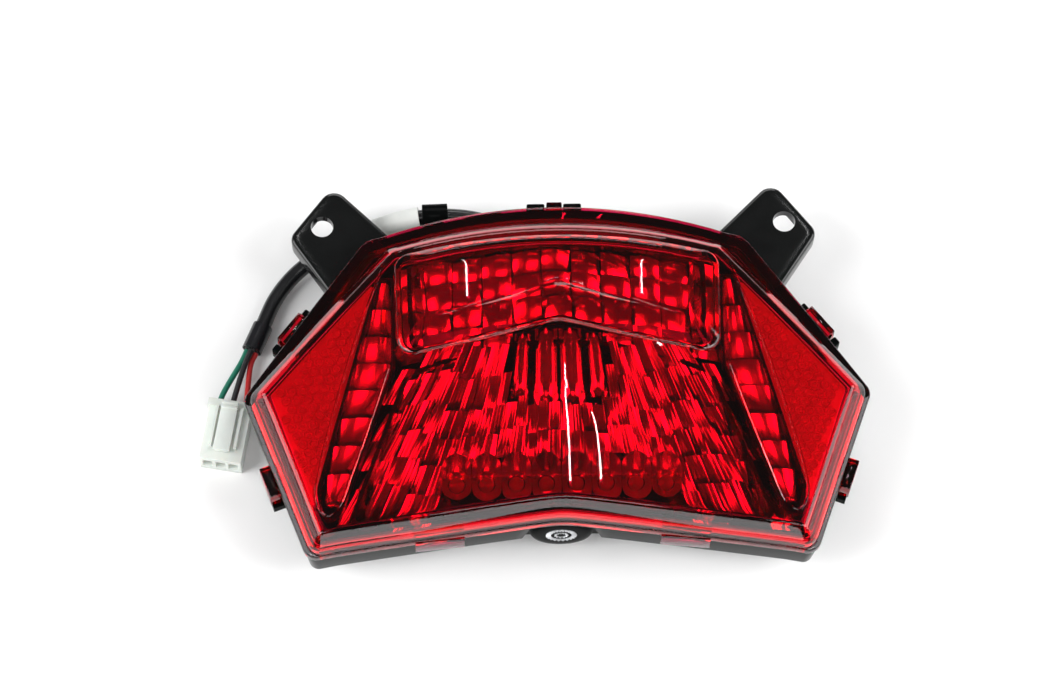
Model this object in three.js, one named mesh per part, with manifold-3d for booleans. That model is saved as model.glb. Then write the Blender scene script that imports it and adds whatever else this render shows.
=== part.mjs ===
// Motorcycle tail light with two mounting ears, LED boards behind chromed reflectors, and a short
// lead with a three-way connector. Millimetres. The lamp lies on its back: +Z is the way the lens
// faces, +Y is towards the ears and +X is to the right, seen from the lens side. The origin is on
// the surface it lies on, under the middle of the lamp.

import * as THREE from "three";
import { mergeVertices } from "three/addons/utils/BufferGeometryUtils.js";
import Module from "manifold-3d";

const wasm = await Module();
wasm.setup();

// ---------------------------------------------------------------- driving dimensions

const GAP = 0.35; // between pieces that touch
const WALL = 2.4; // moulded walls of the housing and the lens
const HALF_WIDTH = 96.8; // side corner of the lens flange from the centre line
const SWEEP = 14; // how far every lens edge drops from the centre line to the side corners

// heights on the centre line; at the sides each is lower by the sweep
const SEAM_Z = 33; // top edge of the housing wall
const LEDGE_Z = 28; // ledge inside the housing wall that carries the gasket
const FLANGE_Z = 36; // top of the lens flange
const BEVEL_Z = 40; // outer edge of the lens bevel
const FACE_Z = 44; // edge of the lens face
const FACE_RISE = 2; // crown of the lens face
const POD_Z = 48.6; // edge of the raised brake window
const WING_Z = 18; // underside of the housing's wings
const CABLE_Z = 11; // axis of the cable outlet

// Outlines: corners as [x, y, radius] for the right half, from the bottom up, and bows in y.
const flangeEdge = {
  half: [[76.8, -61.6, 5], [96.8, -7.4, 4], [58.5, 42.3, 8]],
  topBow: 7.8,
  arch: 7.2,
};
const crownEdge = {
  half: [[75.6, -61, 4.5], [94.9, -8.6, 4], [51.5, 37.2, 7]],
  topBow: 5.5,
  arch: 7.2,
};
const backBox = {
  half: [[50, -47, 6], [54, -12, 6], [48, 22.5, 6]],
  topBow: 0,
  arch: 0,
};

const podEdge = { corners: [[49, -2.4, 6], [50, 31.4, 5]], topBow: 4.4, arch: 9.3 };
const plateauEdge = { corners: [[41, 8.5, 4], [43.5, 29.8, 3]], topBow: 4, arch: 9 };
const brakeEdge = { corners: [[45.4, 2, 4], [46, 33, 4]], topBow: 4.4, arch: 8.5 };
const fanEdge = { corners: [[64.6, -54.2, 3], [46.4, -4.6, 3]], topBow: 9, arch: 6.8 };

const stripCorners = [
  [73.6, -42, 4],
  [55, 26, 1.2],
  [49.6, 26, 1.2],
  [49.6, -4, 3],
  [66.6, -51.6, 2],
  [71.6, -53.4, 2],
];
const reflexCorners = [
  [57.6, 23.4, 1.2],
  [76.4, -42.5, 1.5],
  [86.6, -8.6, 2],
];

// Mounting ears
const EAR_Z = 24.5; // front face
const EAR_THICK = 3;
const EAR_SKIRT = 6.5; // depth of the stiffening skirt, from the front face
const EAR_HOLE_R = 3.5;
const earHole = [72.3, 49.4];
const earCorners = [
  [68.4, 24.4, 1],
  [82.8, 45.7, 4],
  [69.1, 63.92, 4.5],
  [51.8, 46.6, 2],
  [51.5, 39.8, 1],
];

// Light sources
const BRAKE_LED_X = [-35, -21, -7, 7, 21, 35];
const BRAKE_LED_Y = 16;
const TAIL_LED_X = [-31.5, -22.5, -13.5, -4.5, 4.5, 13.5, 22.5, 31.5];
const TAIL_LED_Y = -39.5;
const BRAKE_BOARD_Z = 22;
const TAIL_BOARD_Z = 21.4;
const BOARD_THICK = 1.6;
const LED_R = 2.5;

// Vent in the bottom wall
const VENT_Z = 17;
const VENT_R = 9.6;
const VENT_FACE_Y = -51.6;
const VENT_DEPTH = 3;

// Screws
const SHANK_R = 1.5;
const PILOT_R = 1.9;
const HEAD_R = 3;
const HEAD_THICK = 1.6;
const boardScrewAt = [[-28, 10.4], [28, 10.4], [-27, -33.6], [27, -33.6]];
const reflectorScrewAt = [[-36, 26.8], [36, 26.8], [-55.4, -46.6], [55.4, -46.6]];
const clipScrewAt = [-37, 36];

// Lead
const CABLE_R = 2.5;
const SLEEVE_R = 3.4;
const BOOT_R = 3.2;
const BORE_R = 2.85; // of what is pushed over the cable
const WIRE_R = 0.9;
const cableRoute = [
  [-8, 38.4, 11],
  [-8.6, 45, 11.4],
  [-13.5, 51.8, 12.6],
  [-23, 55.8, 14.6],
  [-37, 56.6, 16],
  [-47.5, 55.6, 14.6],
  [-57.5, 53.6, 11.6],
  [-70, 49.6, 7.2],
  [-80.5, 43.4, 4.1],
  [-87.6, 34.6, 3.1],
  [-91.4, 25.4, 3.4],
  [-95, 16.6, 3.7],
];
const SLEEVE_X = [-41.9, -57.5];
const BOOT_LENGTH = 9;

// Connector, in its own frame: wires enter at y = 0 and the mating face is at -CONNECTOR_LENGTH
const CONNECTOR_AT = [-100.8, -2.4];
const CONNECTOR_TURN = -0.178;
const CONNECTOR_LENGTH = 20;
const CONNECTOR_WIDTH = 13;
const CONNECTOR_HEIGHT = 8.5;
const WAY_PITCH = 4;
const WAY_Z = 4.2;
const LATCH_PIVOT_Y = -8;
const LATCH_Z = 9.9;

// ---------------------------------------------------------------- materials

const plastic = (color, roughness) =>
  new THREE.MeshStandardMaterial({ color, roughness, metalness: 0 });
const metal = (color, roughness) =>
  new THREE.MeshStandardMaterial({ color, roughness, metalness: 1 });
const redLens = new THREE.MeshStandardMaterial({
  color: 0xb00010,
  roughness: 0.05,
  metalness: 0,
  transparent: true,
  opacity: 0.5,
});
const blackPlastic = plastic(0x0d0e0e, 0.22);
const blackRubber = plastic(0x15161a, 0.6);
const reflexRed = plastic(0xc00018, 0.25);
const circuitGreen = plastic(0x0c4a24, 0.5);
const chipBlack = plastic(0x101010, 0.45);
const ledEpoxy = plastic(0xd81c1c, 0.1);
const whiteNylon = plastic(0xdfe1da, 0.4);
const sleeveWhite = plastic(0xe6e8e4, 0.35);
const chrome = metal(0xe8e8ea, 0.08);
const zincSteel = metal(0xb9bcc0, 0.35);
const tinnedBrass = metal(0xcbb98a, 0.3);
const wireColours = { green: 0x0b6b4f, black: 0x111214, red: 0xb01818 };

// ---------------------------------------------------------------- solids

// A closed geometry as a manifold-3d solid.
function solid(geometry) {
  const bare = geometry.clone();
  bare.deleteAttribute("normal");
  bare.deleteAttribute("uv");
  const merged = mergeVertices(bare, 1e-4);
  return new wasm.Manifold(
    new wasm.Mesh({
      numProp: 3,
      vertProperties: merged.attributes.position.array,
      triVerts: new Uint32Array(merged.index.array),
    }),
  );
}

// A manifold-3d solid back as a geometry.
function shape(made) {
  const mesh = made.getMesh();
  const geometry = new THREE.BufferGeometry();
  geometry.setAttribute("position", new THREE.BufferAttribute(mesh.vertProperties, 3));
  geometry.setIndex(new THREE.BufferAttribute(mesh.triVerts, 1));
  geometry.computeVertexNormals();
  return geometry;
}

const join = (first, ...rest) => rest.reduce((sum, next) => sum.add(next), first);
const cut = (first, ...rest) => rest.reduce((left, next) => left.subtract(next), first);

const drop = (x) => SWEEP * (x / HALF_WIDTH) ** 2;
// A height function that follows the sweep of the lens, by a share of it.
const level = (base, share = 1) => (x) => base - share * drop(x);

const box = (x0, x1, y0, y1, z0, z1) =>
  new THREE.BoxGeometry(x1 - x0, y1 - y0, z1 - z0).translate(
    (x0 + x1) / 2,
    (y0 + y1) / 2,
    (z0 + z1) / 2,
  );

// An upright cylinder from z0 to z1.
const post = (x, y, radius, z0, z1, sides = 10) =>
  new THREE.CylinderGeometry(radius, radius, z1 - z0, sides)
    .rotateX(Math.PI / 2)
    .translate(x, y, (z0 + z1) / 2);

// A round bar along Y, from y0 to y1.
const roundBar = (radius, y0, y1, x, z, sides) =>
  new THREE.CylinderGeometry(radius, radius, y1 - y0, sides).translate(x, (y0 + y1) / 2, z);

// ---------------------------------------------------------------- outlines and lofts

const CORNER_STEPS = 2;

// Points of a closed outline, counter-clockwise. Corner i is [x, y, radius] and edge i runs from it
// to the next one, with steps[i] points between the round corners; bows[i](s) is added to y, with s
// from -1 to 1 along the edge. inset moves every edge inwards.
function outline(corners, steps, bows, inset = 0) {
  const count = corners.length;
  const turned = corners.map(([x, y, radius], i) => {
    const [bx, by] = corners[(i + count - 1) % count];
    const [ax, ay] = corners[(i + 1) % count];
    const into = new THREE.Vector2(x - bx, y - by).normalize();
    const out = new THREE.Vector2(ax - x, ay - y).normalize();
    const normalIn = new THREE.Vector2(-into.y, into.x);
    const normalOut = new THREE.Vector2(-out.y, out.x);
    const inwards = normalIn
      .clone()
      .add(normalOut)
      .divideScalar(1 + normalIn.dot(normalOut));
    const r = Math.max(radius - inset, 0.5);
    const centre = new THREE.Vector2(x, y).addScaledVector(inwards, inset + r);
    const turn = Math.atan2(into.cross(out), into.dot(out));
    return { centre, normalIn, turn, r };
  });
  const points = [];
  turned.forEach(({ centre, normalIn, turn, r }, i) => {
    for (let k = 0; k <= CORNER_STEPS; k++) {
      const spoke = normalIn.clone().rotateAround(new THREE.Vector2(), (turn * k) / CORNER_STEPS);
      points.push(centre.clone().addScaledVector(spoke, -r));
    }
    const next = turned[(i + 1) % count];
    const from = points[points.length - 1];
    const to = next.centre.clone().addScaledVector(next.normalIn, -next.r);
    for (let k = 1; k <= steps[i]; k++) {
      const even = (2 * k) / (steps[i] + 1) - 1;
      const s = bows[i] ? even * (0.65 + 0.35 * even * even) : even;
      const p = from.clone().lerp(to, (s + 1) / 2);
      p.y += bows[i] ? bows[i](s) : 0;
      points.push(p);
    }
  });
  return points;
}

const parabola = (height) => (s) => height * (1 - s * s);
const chevron = (height) => (s) => {
  const t = Math.hypot(s, 0.05) - 0.05; // rounds its tip
  return height * (1 - 1.35 * t + 0.35 * t * t);
};
const mirrored = ([x, y, r]) => [-x, y, r];

// Six-cornered outline, symmetric about the centre line.
function sixSided({ half, topBow, arch }, inset = 0) {
  const corners = [...half, ...half.map(mirrored).reverse()];
  const steps = [1, 2, 5, 2, 1, 11];
  const bows = [null, null, parabola(topBow), null, null, chevron(arch)];
  return outline(corners, steps, bows, inset);
}

// Four-cornered outline with an arched bottom, symmetric about the centre line.
function fourSided({ corners: half, topBow, arch }, inset = 0) {
  const corners = [...half, ...half.map(mirrored).reverse()];
  return outline(corners, [1, 5, 1, 7], [null, parabola(topBow), null, chevron(arch)], inset);
}

const manySided = (corners, inset = 0, steps = 2) =>
  outline(corners, corners.map(() => steps), corners.map(() => null), inset);

// An outline lifted to a height that may vary over x and y, with the point in its middle.
function ring(outlinePoints, height) {
  const at = ({ x, y }) => new THREE.Vector3(x, y, height(x, y));
  const sum = outlinePoints.reduce((s, p) => s.add(p), new THREE.Vector2());
  return { points: outlinePoints.map(at), centre: at(sum.divideScalar(outlinePoints.length)) };
}

// Rings that close a loft with a shallow dome above its last ring.
function dome(last, height, rise, shares = [0.35, 0.75]) {
  return shares.map((share) => {
    const inner = last.points.map((p) => p.clone().lerp(last.centre, share));
    return ring(inner, (x, y) => height(x, y) + rise * (1 - (1 - share) ** 2));
  });
}

// A closed solid through rings of equally many points, from the lowest up.
function loft(rings) {
  const size = rings[0].points.length;
  const points = rings.flatMap((r) => r.points);
  const faces = [];
  for (let k = 0; k + 1 < rings.length; k++) {
    for (let i = 0; i < size; i++) {
      const a = k * size + i;
      const b = k * size + ((i + 1) % size);
      faces.push(a, b, b + size, a, b + size, a + size);
    }
  }
  points.push(rings[0].centre, rings[rings.length - 1].centre);
  const low = points.length - 2;
  const start = (rings.length - 1) * size;
  for (let i = 0; i < size; i++) {
    const next = (i + 1) % size;
    faces.push(low, next, i, low + 1, start + i, start + next);
  }
  const geometry = new THREE.BufferGeometry().setFromPoints(points);
  geometry.setIndex(faces);
  geometry.computeVertexNormals();
  return geometry;
}

// Where share along edge i of the flange lies, and which way is out from there.
function onFlange(i, share) {
  const corners = [...flangeEdge.half, ...flangeEdge.half.map(mirrored).reverse()];
  const [ax, ay] = corners[i];
  const [bx, by] = corners[(i + 1) % corners.length];
  const bow = { 2: parabola(flangeEdge.topBow), 5: chevron(flangeEdge.arch) }[i] ?? (() => 0);
  const at = (t) => [
    THREE.MathUtils.lerp(ax, bx, t),
    THREE.MathUtils.lerp(ay, by, t) + bow(2 * t - 1),
  ];
  const [x, y] = at(share);
  const [nextX, nextY] = at(share + 0.01);
  return { x, y, along: Math.atan2(nextY - y, nextX - x) };
}

// A block on the lamp's edge: from a0 to a1 along the edge, from o0 to o1 outwards, z0 to z1 high.
function edgeBlock({ x, y, along }, a0, a1, o0, o1, z0, z1) {
  return box(a0, a1, -o1, -o0, z0 - drop(x), z1 - drop(x)).rotateZ(along).translate(x, y, 0);
}

// Clips round the seam: the edge and the share along it, half the red tab's length, how far the tab
// stands out, and the length of the black catch on each side of it, if any.
const CLIPS = [
  { edge: 2, share: 0.5, half: 2.4, proud: 2.2, catchLong: 5.6 },
  { edge: 1, share: 0.43, half: 5.5, proud: 3.2, catchLong: 2.6 },
  { edge: 3, share: 0.57, half: 5.5, proud: 3.2, catchLong: 2.6 },
  { edge: 0, share: 0.5, half: 5, proud: 3.2, catchLong: 0 },
  { edge: 4, share: 0.5, half: 5, proud: 3.2, catchLong: 0 },
  { edge: 5, share: 0.26, half: 7.5, proud: 0.6, catchLong: 0 },
  { edge: 5, share: 0.74, half: 7.5, proud: 0.6, catchLong: 0 },
];

// ---------------------------------------------------------------- housing

// The lower edge of the housing's wall is raised in the middle of the bottom edge, over the vent.
const wallFoot = (x, y) => level(20.5)(x) + (y < -40 && Math.abs(x) < 12 ? 7.5 : 0);

function earPlate() {
  const edge = manySided(earCorners, 0, 0);
  const flat = (z) => () => z;
  const plate = solid(
    loft([
      ring(edge, flat(EAR_Z - EAR_SKIRT)),
      ring(edge, flat(EAR_Z - 0.8)),
      ring(manySided(earCorners, 0.8, 0), flat(EAR_Z)),
    ]),
  );
  const under = manySided(earCorners, 2, 0);
  const hollow = solid(
    loft([ring(under, flat(EAR_Z - EAR_SKIRT - 1)), ring(under, flat(EAR_Z - EAR_THICK))]),
  );
  return cut(plate, hollow);
}

function rearHousing() {
  const outside = solid(
    loft([
      ring(sixSided(backBox, 2.6), () => 0),
      ring(sixSided(backBox, 1.6), () => 1.4),
      ring(sixSided(backBox), level(WING_Z, 0.9)),
      ring(sixSided(flangeEdge, 6), level(WING_Z + 1.5, 0.95)),
      ring(sixSided(flangeEdge, 1.8), wallFoot),
      ring(sixSided(flangeEdge, 0.5), level(SEAM_Z)),
    ]),
  );
  const cavity = solid(
    loft([
      ring(sixSided(backBox, 4.8), () => WALL),
      ring(sixSided(backBox, WALL), level(WING_Z + WALL, 0.9)),
      ring(sixSided(flangeEdge, 8.4), level(WING_Z + 1.8 + WALL, 0.95)),
      ring(sixSided(flangeEdge, 7), level(LEDGE_Z - 1.6)),
      ring(sixSided(flangeEdge, 6), level(LEDGE_Z)),
      ring(sixSided(flangeEdge, 3.2), level(LEDGE_Z)),
      ring(sixSided(flangeEdge, 3.2), level(SEAM_Z + 2)),
    ]),
  );
  const ear = earPlate();
  const catches = CLIPS.filter((c) => c.catchLong).flatMap((c) =>
    [-1, 1].map((side) => {
      const near = side * (c.half + 0.5);
      const far = side * (c.half + 0.5 + c.catchLong);
      const ends = [Math.min(near, far), Math.max(near, far)];
      return solid(edgeBlock(onFlange(c.edge, c.share), ...ends, -2.6, 3, 26.5, 31.9));
    }),
  );
  // a shelf under each red tab that stands out
  const shelves = CLIPS.filter((c) => c.proud > 1).map((c) => {
    const reach = c.half + 1;
    const place = onFlange(c.edge, c.share);
    return solid(edgeBlock(place, -reach, reach, -2.6, c.proud - 0.5, 23.9, 26.8));
  });
  const pads = reflectorScrewAt.map(([x, y]) =>
    solid(post(x, y, 4.4, padFoot(x), WING_Z + 1 - 0.9 * drop(x))),
  );
  const clipPad = solid(post(...clipScrewAt, 4.4, 15.3, 20));
  const ventSeat = solid(roundBar(VENT_R + GAP, -64, VENT_FACE_Y + VENT_DEPTH + GAP, 0, VENT_Z, 20));
  const ventBoss = solid(roundBar(7.9, VENT_FACE_Y + 2, -44, 0, VENT_Z, 16));
  let body = join(outside, ear, ear.mirror([1, 0, 0]), ...shelves, ...catches, ...pads, clipPad);
  body = cut(join(cut(body, ventSeat), ventBoss), cavity);
  // pillars inside, for the boards and the clip's screw
  const pillars = boardScrewAt.map(([x, y]) => solid(post(x, y, 3.2, 1.6, boardFoot(y) - GAP)));
  pillars.push(solid(post(...clipScrewAt, 3.4, 17, 24.2)));
  body = join(body, ...pillars);
  const pilots = boardScrewAt.map(([x, y]) =>
    solid(post(x, y, PILOT_R, boardFoot(y) - 9, boardFoot(y) + 1)),
  );
  pilots.push(solid(post(...clipScrewAt, PILOT_R, 10, 23)));
  reflectorScrewAt.forEach(([x, y]) => pilots.push(solid(post(x, y, PILOT_R, 0, 26))));
  for (const side of [-1, 1]) {
    pilots.push(solid(post(side * earHole[0], earHole[1], EAR_HOLE_R, 10, 30, 24)));
  }
  const outlet = solid(roundBar(4.5, 15, 29, -8, CABLE_Z, 16));
  const ventHole = solid(roundBar(2.6, -51, -40, 0, VENT_Z - 3, 10));
  return shape(cut(body, ...pilots, outlet, ventHole));
}

const boardFoot = (y) => (y > 0 ? BRAKE_BOARD_Z : TAIL_BOARD_Z);
// Flat outer end of the pad round a reflector screw.
const padFoot = (x) => WING_Z - 2.2 - 0.9 * drop(x);

// ---------------------------------------------------------------- lens and seal

function outerLens() {
  const face = level(FACE_Z);
  const crown = ring(sixSided(crownEdge, 4), face);
  const outside = loft([
    ring(sixSided(flangeEdge, 9), level(LEDGE_Z + 2.2)),
    ring(sixSided(flangeEdge, 3.2 + GAP), level(LEDGE_Z + 2.2)),
    ring(sixSided(flangeEdge, 3.2 + GAP), level(SEAM_Z + GAP)),
    ring(sixSided(flangeEdge), level(SEAM_Z + GAP)),
    ring(sixSided(flangeEdge), level(FLANGE_Z - 0.9)),
    ring(sixSided(flangeEdge, 0.9), level(FLANGE_Z)),
    ring(sixSided(crownEdge, 0), level(FLANGE_Z + 0.2)),
    ring(sixSided(crownEdge, 0.2), level(BEVEL_Z)),
    crown,
    ...dome(crown, face, FACE_RISE),
  ]);
  const innerFace = level(FACE_Z - WALL);
  const innerCrown = ring(sixSided(crownEdge, 5.8), innerFace);
  const inside = loft([
    ring(sixSided(flangeEdge, 5.6), level(LEDGE_Z)),
    ring(sixSided(flangeEdge, 5.6), level(SEAM_Z)),
    ring(sixSided(crownEdge, 2.9), level(FLANGE_Z - 1.4)),
    ring(sixSided(crownEdge, 3), level(BEVEL_Z - 1.4)),
    innerCrown,
    ...dome(innerCrown, innerFace, FACE_RISE),
  ]);
  const plateau = ring(fourSided(plateauEdge), level(POD_Z));
  const pod = loft([
    ring(fourSided(podEdge), level(FACE_Z - 2)),
    ring(fourSided(podEdge), level(FACE_Z + 1.5)),
    ring(fourSided(podEdge, 0.9), level(FACE_Z + 2.3)),
    plateau,
    ...dome(plateau, level(POD_Z), 0.8, [0.5]),
  ]);
  const innerPlateau = ring(fourSided(plateauEdge, 1.4), level(POD_Z - WALL));
  const podHollow = loft([
    ring(fourSided(podEdge, 2.2), level(FACE_Z - WALL - 3)),
    ring(fourSided(podEdge, 2.2), level(FACE_Z - 0.4)),
    innerPlateau,
    ...dome(innerPlateau, level(POD_Z - WALL), 0.8, [0.5]),
  ]);
  const tabs = CLIPS.map((c) =>
    solid(edgeBlock(onFlange(c.edge, c.share), -c.half, c.half, -0.15, c.proud, 27.2, 34.6)),
  );
  return shape(cut(join(solid(outside), solid(pod), ...tabs), solid(inside), solid(podHollow)));
}

function lensGasket() {
  const low = level(LEDGE_Z + GAP);
  const high = level(LEDGE_Z + 2.2 - GAP);
  const outer = loft([
    ring(sixSided(flangeEdge, 9), low),
    ring(sixSided(flangeEdge, 3.2 + GAP), low),
    ring(sixSided(flangeEdge, 3.2 + GAP), high),
    ring(sixSided(flangeEdge, 9), high),
  ]);
  const inner = loft([
    ring(sixSided(flangeEdge, 5.4), level(LEDGE_Z - 1)),
    ring(sixSided(flangeEdge, 5.4), level(LEDGE_Z + 3)),
  ]);
  return shape(cut(solid(outer), solid(inner)));
}

// ---------------------------------------------------------------- reflectors

const REFLECTOR_WALL = 1.5;

// An open tray that follows the sweep: edge(inset) gives its outline.
function tray(edge, rimZ, kneeZ, floorZ, floorInset, share) {
  const floor = level(floorZ, share);
  const outer = loft([
    ring(edge(floorInset * 2.2), floor),
    ring(edge(floorInset), floor),
    ring(edge(0.5), level(kneeZ, share)),
    ring(edge(0), level(rimZ)),
  ]);
  const innerFloor = level(floorZ + REFLECTOR_WALL, share);
  const inner = loft([
    ring(edge(floorInset + REFLECTOR_WALL), innerFloor),
    ring(edge(0.5 + REFLECTOR_WALL), level(kneeZ + 0.6, share)),
    ring(edge(REFLECTOR_WALL), level(rimZ + 1)),
  ]);
  return cut(solid(outer), solid(inner));
}

// Hollow pillars under a tray, which the screws from the back of the housing bite into.
function withPillars(body, places, topZ) {
  const outside = places.map(([x, y]) =>
    solid(post(x, y, 3.1, WING_Z + 3.6 - 0.9 * drop(x), topZ - 0.6 * drop(x))),
  );
  const pilots = places.map(([x, y]) =>
    solid(post(x, y, PILOT_R, WING_Z - 0.9 * drop(x), topZ - 1 - 0.6 * drop(x))),
  );
  return cut(join(body, ...outside), ...pilots);
}

function brakeReflector() {
  const edge = (inset) => fourSided(brakeEdge, inset);
  const body = withPillars(tray(edge, 40.8, 31, 28.4, 2.6, 0.6), reflectorScrewAt.slice(0, 2), 29);
  const holes = BRAKE_LED_X.map((x) => solid(post(x, BRAKE_LED_Y, 3.4, 20, 34, 8)));
  return shape(cut(body, ...holes));
}

function fanReflector() {
  const edge = (inset) => fourSided(fanEdge, inset);
  const body = withPillars(tray(edge, 40.6, 29.6, 26.6, 2.4, 0.6), reflectorScrewAt.slice(2), 27.4);
  const holes = TAIL_LED_X.map((x) => solid(post(x, TAIL_LED_Y, 3.4, 20, 32, 8)));
  return shape(cut(body, ...holes));
}

const sideReflector = () =>
  shape(tray((inset) => manySided(stripCorners, inset * 0.6), 40, 33, 30.5, 1.2, 1));

function reflexPanel() {
  const edge = (inset) => manySided(reflexCorners, inset);
  return loft([ring(edge(0), level(36.4)), ring(edge(0), level(38.9)), ring(edge(0.5), level(39.4))]);
}

// ---------------------------------------------------------------- boards, LEDs, screws

function board(x, y0, y1, z, screws) {
  const plate = solid(box(-x, x, y0, y1, z, z + BOARD_THICK));
  const holes = screws.map(([sx, sy]) => solid(post(sx, sy, PILOT_R, z - 1, z + 3)));
  return shape(cut(plate, ...holes));
}

// A round LED: flanged foot, straight body and domed end, its foot at z = 0.
function led() {
  const profile = [
    [0, 0],
    [LED_R + 0.35, 0],
    [LED_R + 0.35, 1],
    [LED_R, 1],
    [LED_R, 5.4],
    [0, 7.6],
  ].map(([r, y]) => new THREE.Vector2(r, y));
  return new THREE.LatheGeometry(profile, 8).rotateX(Math.PI / 2);
}

// A screw with a recessed round head, its head's underside at z = 0 and its shank going up.
function screw(length) {
  const profile = [
    [0, -HEAD_THICK + 1],
    [1.4, -HEAD_THICK],
    [HEAD_R, -HEAD_THICK],
    [HEAD_R, 0],
    [SHANK_R, 0],
    [SHANK_R, length - 1.4],
    [0, length],
  ].map(([r, y]) => new THREE.Vector2(r, y));
  return new THREE.LatheGeometry(profile, 10).rotateX(Math.PI / 2);
}

// ---------------------------------------------------------------- lead

class Route extends THREE.Curve {
  constructor(curve, from, to) {
    super();
    Object.assign(this, { curve, from, to });
  }
  getPoint(t, target = new THREE.Vector3()) {
    return target.copy(this.curve.getPointAt(THREE.MathUtils.lerp(this.from, this.to, t)));
  }
}

const curveThrough = (points) =>
  new THREE.CatmullRomCurve3(
    points.map((p) => new THREE.Vector3(...p)),
    false,
    "centripetal",
  );

function roundSection(radius, sides, boreRadius) {
  const circle = (r) =>
    Array.from({ length: sides }, (_, i) => {
      const turn = (2 * Math.PI * i) / sides;
      return new THREE.Vector2(r * Math.cos(turn), r * Math.sin(turn));
    });
  const section = new THREE.Shape(circle(radius));
  if (boreRadius) section.holes.push(new THREE.Path(circle(boreRadius).reverse()));
  return section;
}

const along = (path, radius, steps, sides = 8, boreRadius = 0) =>
  new THREE.ExtrudeGeometry(roundSection(radius, sides, boreRadius), {
    steps,
    extrudePath: path,
  });

const cablePath = curveThrough(cableRoute);
const cableLength = cablePath.getLength();

// Share of the cable's length where it has come to x, going left.
function shareAtX(x) {
  let [low, high] = [0, 1];
  while (high - low > 1e-4) {
    const share = (low + high) / 2;
    if (cablePath.getPointAt(share).x > x) low = share;
    else high = share;
  }
  return low;
}

// Overmoulded grommet, turned about the Y axis: flange, neck in the wall, flange, tapered tail.
function cableGrommet() {
  const profile = [
    [0, 15.9],
    [5.4, 15.9],
    [5.8, 16.4],
    [5.8, 17.6],
    [4.1, 17.6],
    [4.1, 22.9],
    [6.4, 22.9],
    [6.4, 24.4],
    [4.6, 25],
    [3.3, 38],
    [0, 38],
  ].map(([r, y]) => new THREE.Vector2(r, y));
  return new THREE.LatheGeometry(profile, 12).translate(cableRoute[0][0], 0, CABLE_Z);
}

function cableClip() {
  const [x, y, z] = cableRoute[4];
  const turn = 0.03; // the cable's slope at the clip
  const loop = new THREE.CylinderGeometry(3.9, 3.9, 8, 12).rotateZ(Math.PI / 2);
  const arm = box(x - 3.2, x + 3.2, clipScrewAt[1] - 4.4, y - 2, 13.1, 15);
  const bore = new THREE.CylinderGeometry(3.1, 3.1, 14, 12).rotateZ(Math.PI / 2);
  const place = (geometry) => solid(geometry.rotateZ(turn).translate(x, y, z));
  return shape(
    cut(
      join(place(loop), solid(arm)),
      place(bore),
      solid(post(...clipScrewAt, PILOT_R, 10, 17)),
    ),
  );
}

// ---------------------------------------------------------------- connector, in its own frame

const ways = [-WAY_PITCH, 0, WAY_PITCH];

function connectorHousing() {
  const w = CONNECTOR_WIDTH / 2;
  const body = solid(box(-w, w, -CONNECTOR_LENGTH, 0, 0, CONNECTOR_HEIGHT));
  const collar = solid(box(-w - 0.7, w + 0.7, -2.4, 0, 0, CONNECTOR_HEIGHT + 0.4));
  const rails = [-1, 1].map((side) =>
    solid(box(side * 3.9 - 0.5, side * 3.9 + 0.5, -16, -2.4, 8, CONNECTOR_HEIGHT + 1.6)),
  );
  const pivot = solid(
    box(-2.4, 2.4, LATCH_PIVOT_Y - 0.5, LATCH_PIVOT_Y + 0.5, 8, LATCH_Z - GAP),
  );
  const cavities = ways.map((x) =>
    solid(box(x - 1.5, x + 1.5, -CONNECTOR_LENGTH - 1, 1, WAY_Z - 2.1, WAY_Z + 2.1)),
  );
  return shape(cut(join(body, collar, ...rails, pivot), ...cavities));
}

function connectorLatch() {
  const lever = solid(box(-2.6, 2.6, -17.4, -1.2, LATCH_Z, LATCH_Z + 1.1));
  const grips = [-1.8, -3.2].map((y) =>
    solid(box(-2.6, 2.6, y - 0.35, y + 0.35, LATCH_Z + 0.8, LATCH_Z + 1.6)),
  );
  const hook = solid(box(-2, 2, -17.4, -16, LATCH_Z - 0.8, LATCH_Z + 0.4));
  return shape(join(lever, ...grips, hook));
}

function terminal(x) {
  const blade = solid(box(x - 1.1, x + 1.1, -17.5, -8, WAY_Z - 0.9, WAY_Z + 0.9));
  const slot = solid(box(x - 0.7, x + 0.7, -19, -12, WAY_Z - 0.35, WAY_Z + 0.35));
  const barrel = solid(box(x - 0.6, x + 0.6, -8.5, -4.4, WAY_Z - 0.6, WAY_Z + 0.6));
  return shape(cut(join(blade, barrel), slot));
}

// ---------------------------------------------------------------- assembly

const lamp = new THREE.Group();

function part(name, geometry, material, parent = lamp) {
  const mesh = new THREE.Mesh(geometry, material);
  mesh.name = name;
  parent.add(mesh);
  return mesh;
}

part("rear_housing", rearHousing(), blackPlastic);
part("outer_lens", outerLens(), redLens);
part("lens_gasket", lensGasket(), blackRubber);
part("brake_reflector", brakeReflector(), chrome);
part("fan_reflector", fanReflector(), chrome);
part("side_reflector_right", sideReflector(), chrome);
part("side_reflector_left", sideReflector(), chrome).scale.x = -1;
part("reflex_panel_right", reflexPanel(), reflexRed);
part("reflex_panel_left", reflexPanel(), reflexRed).scale.x = -1;

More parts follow.
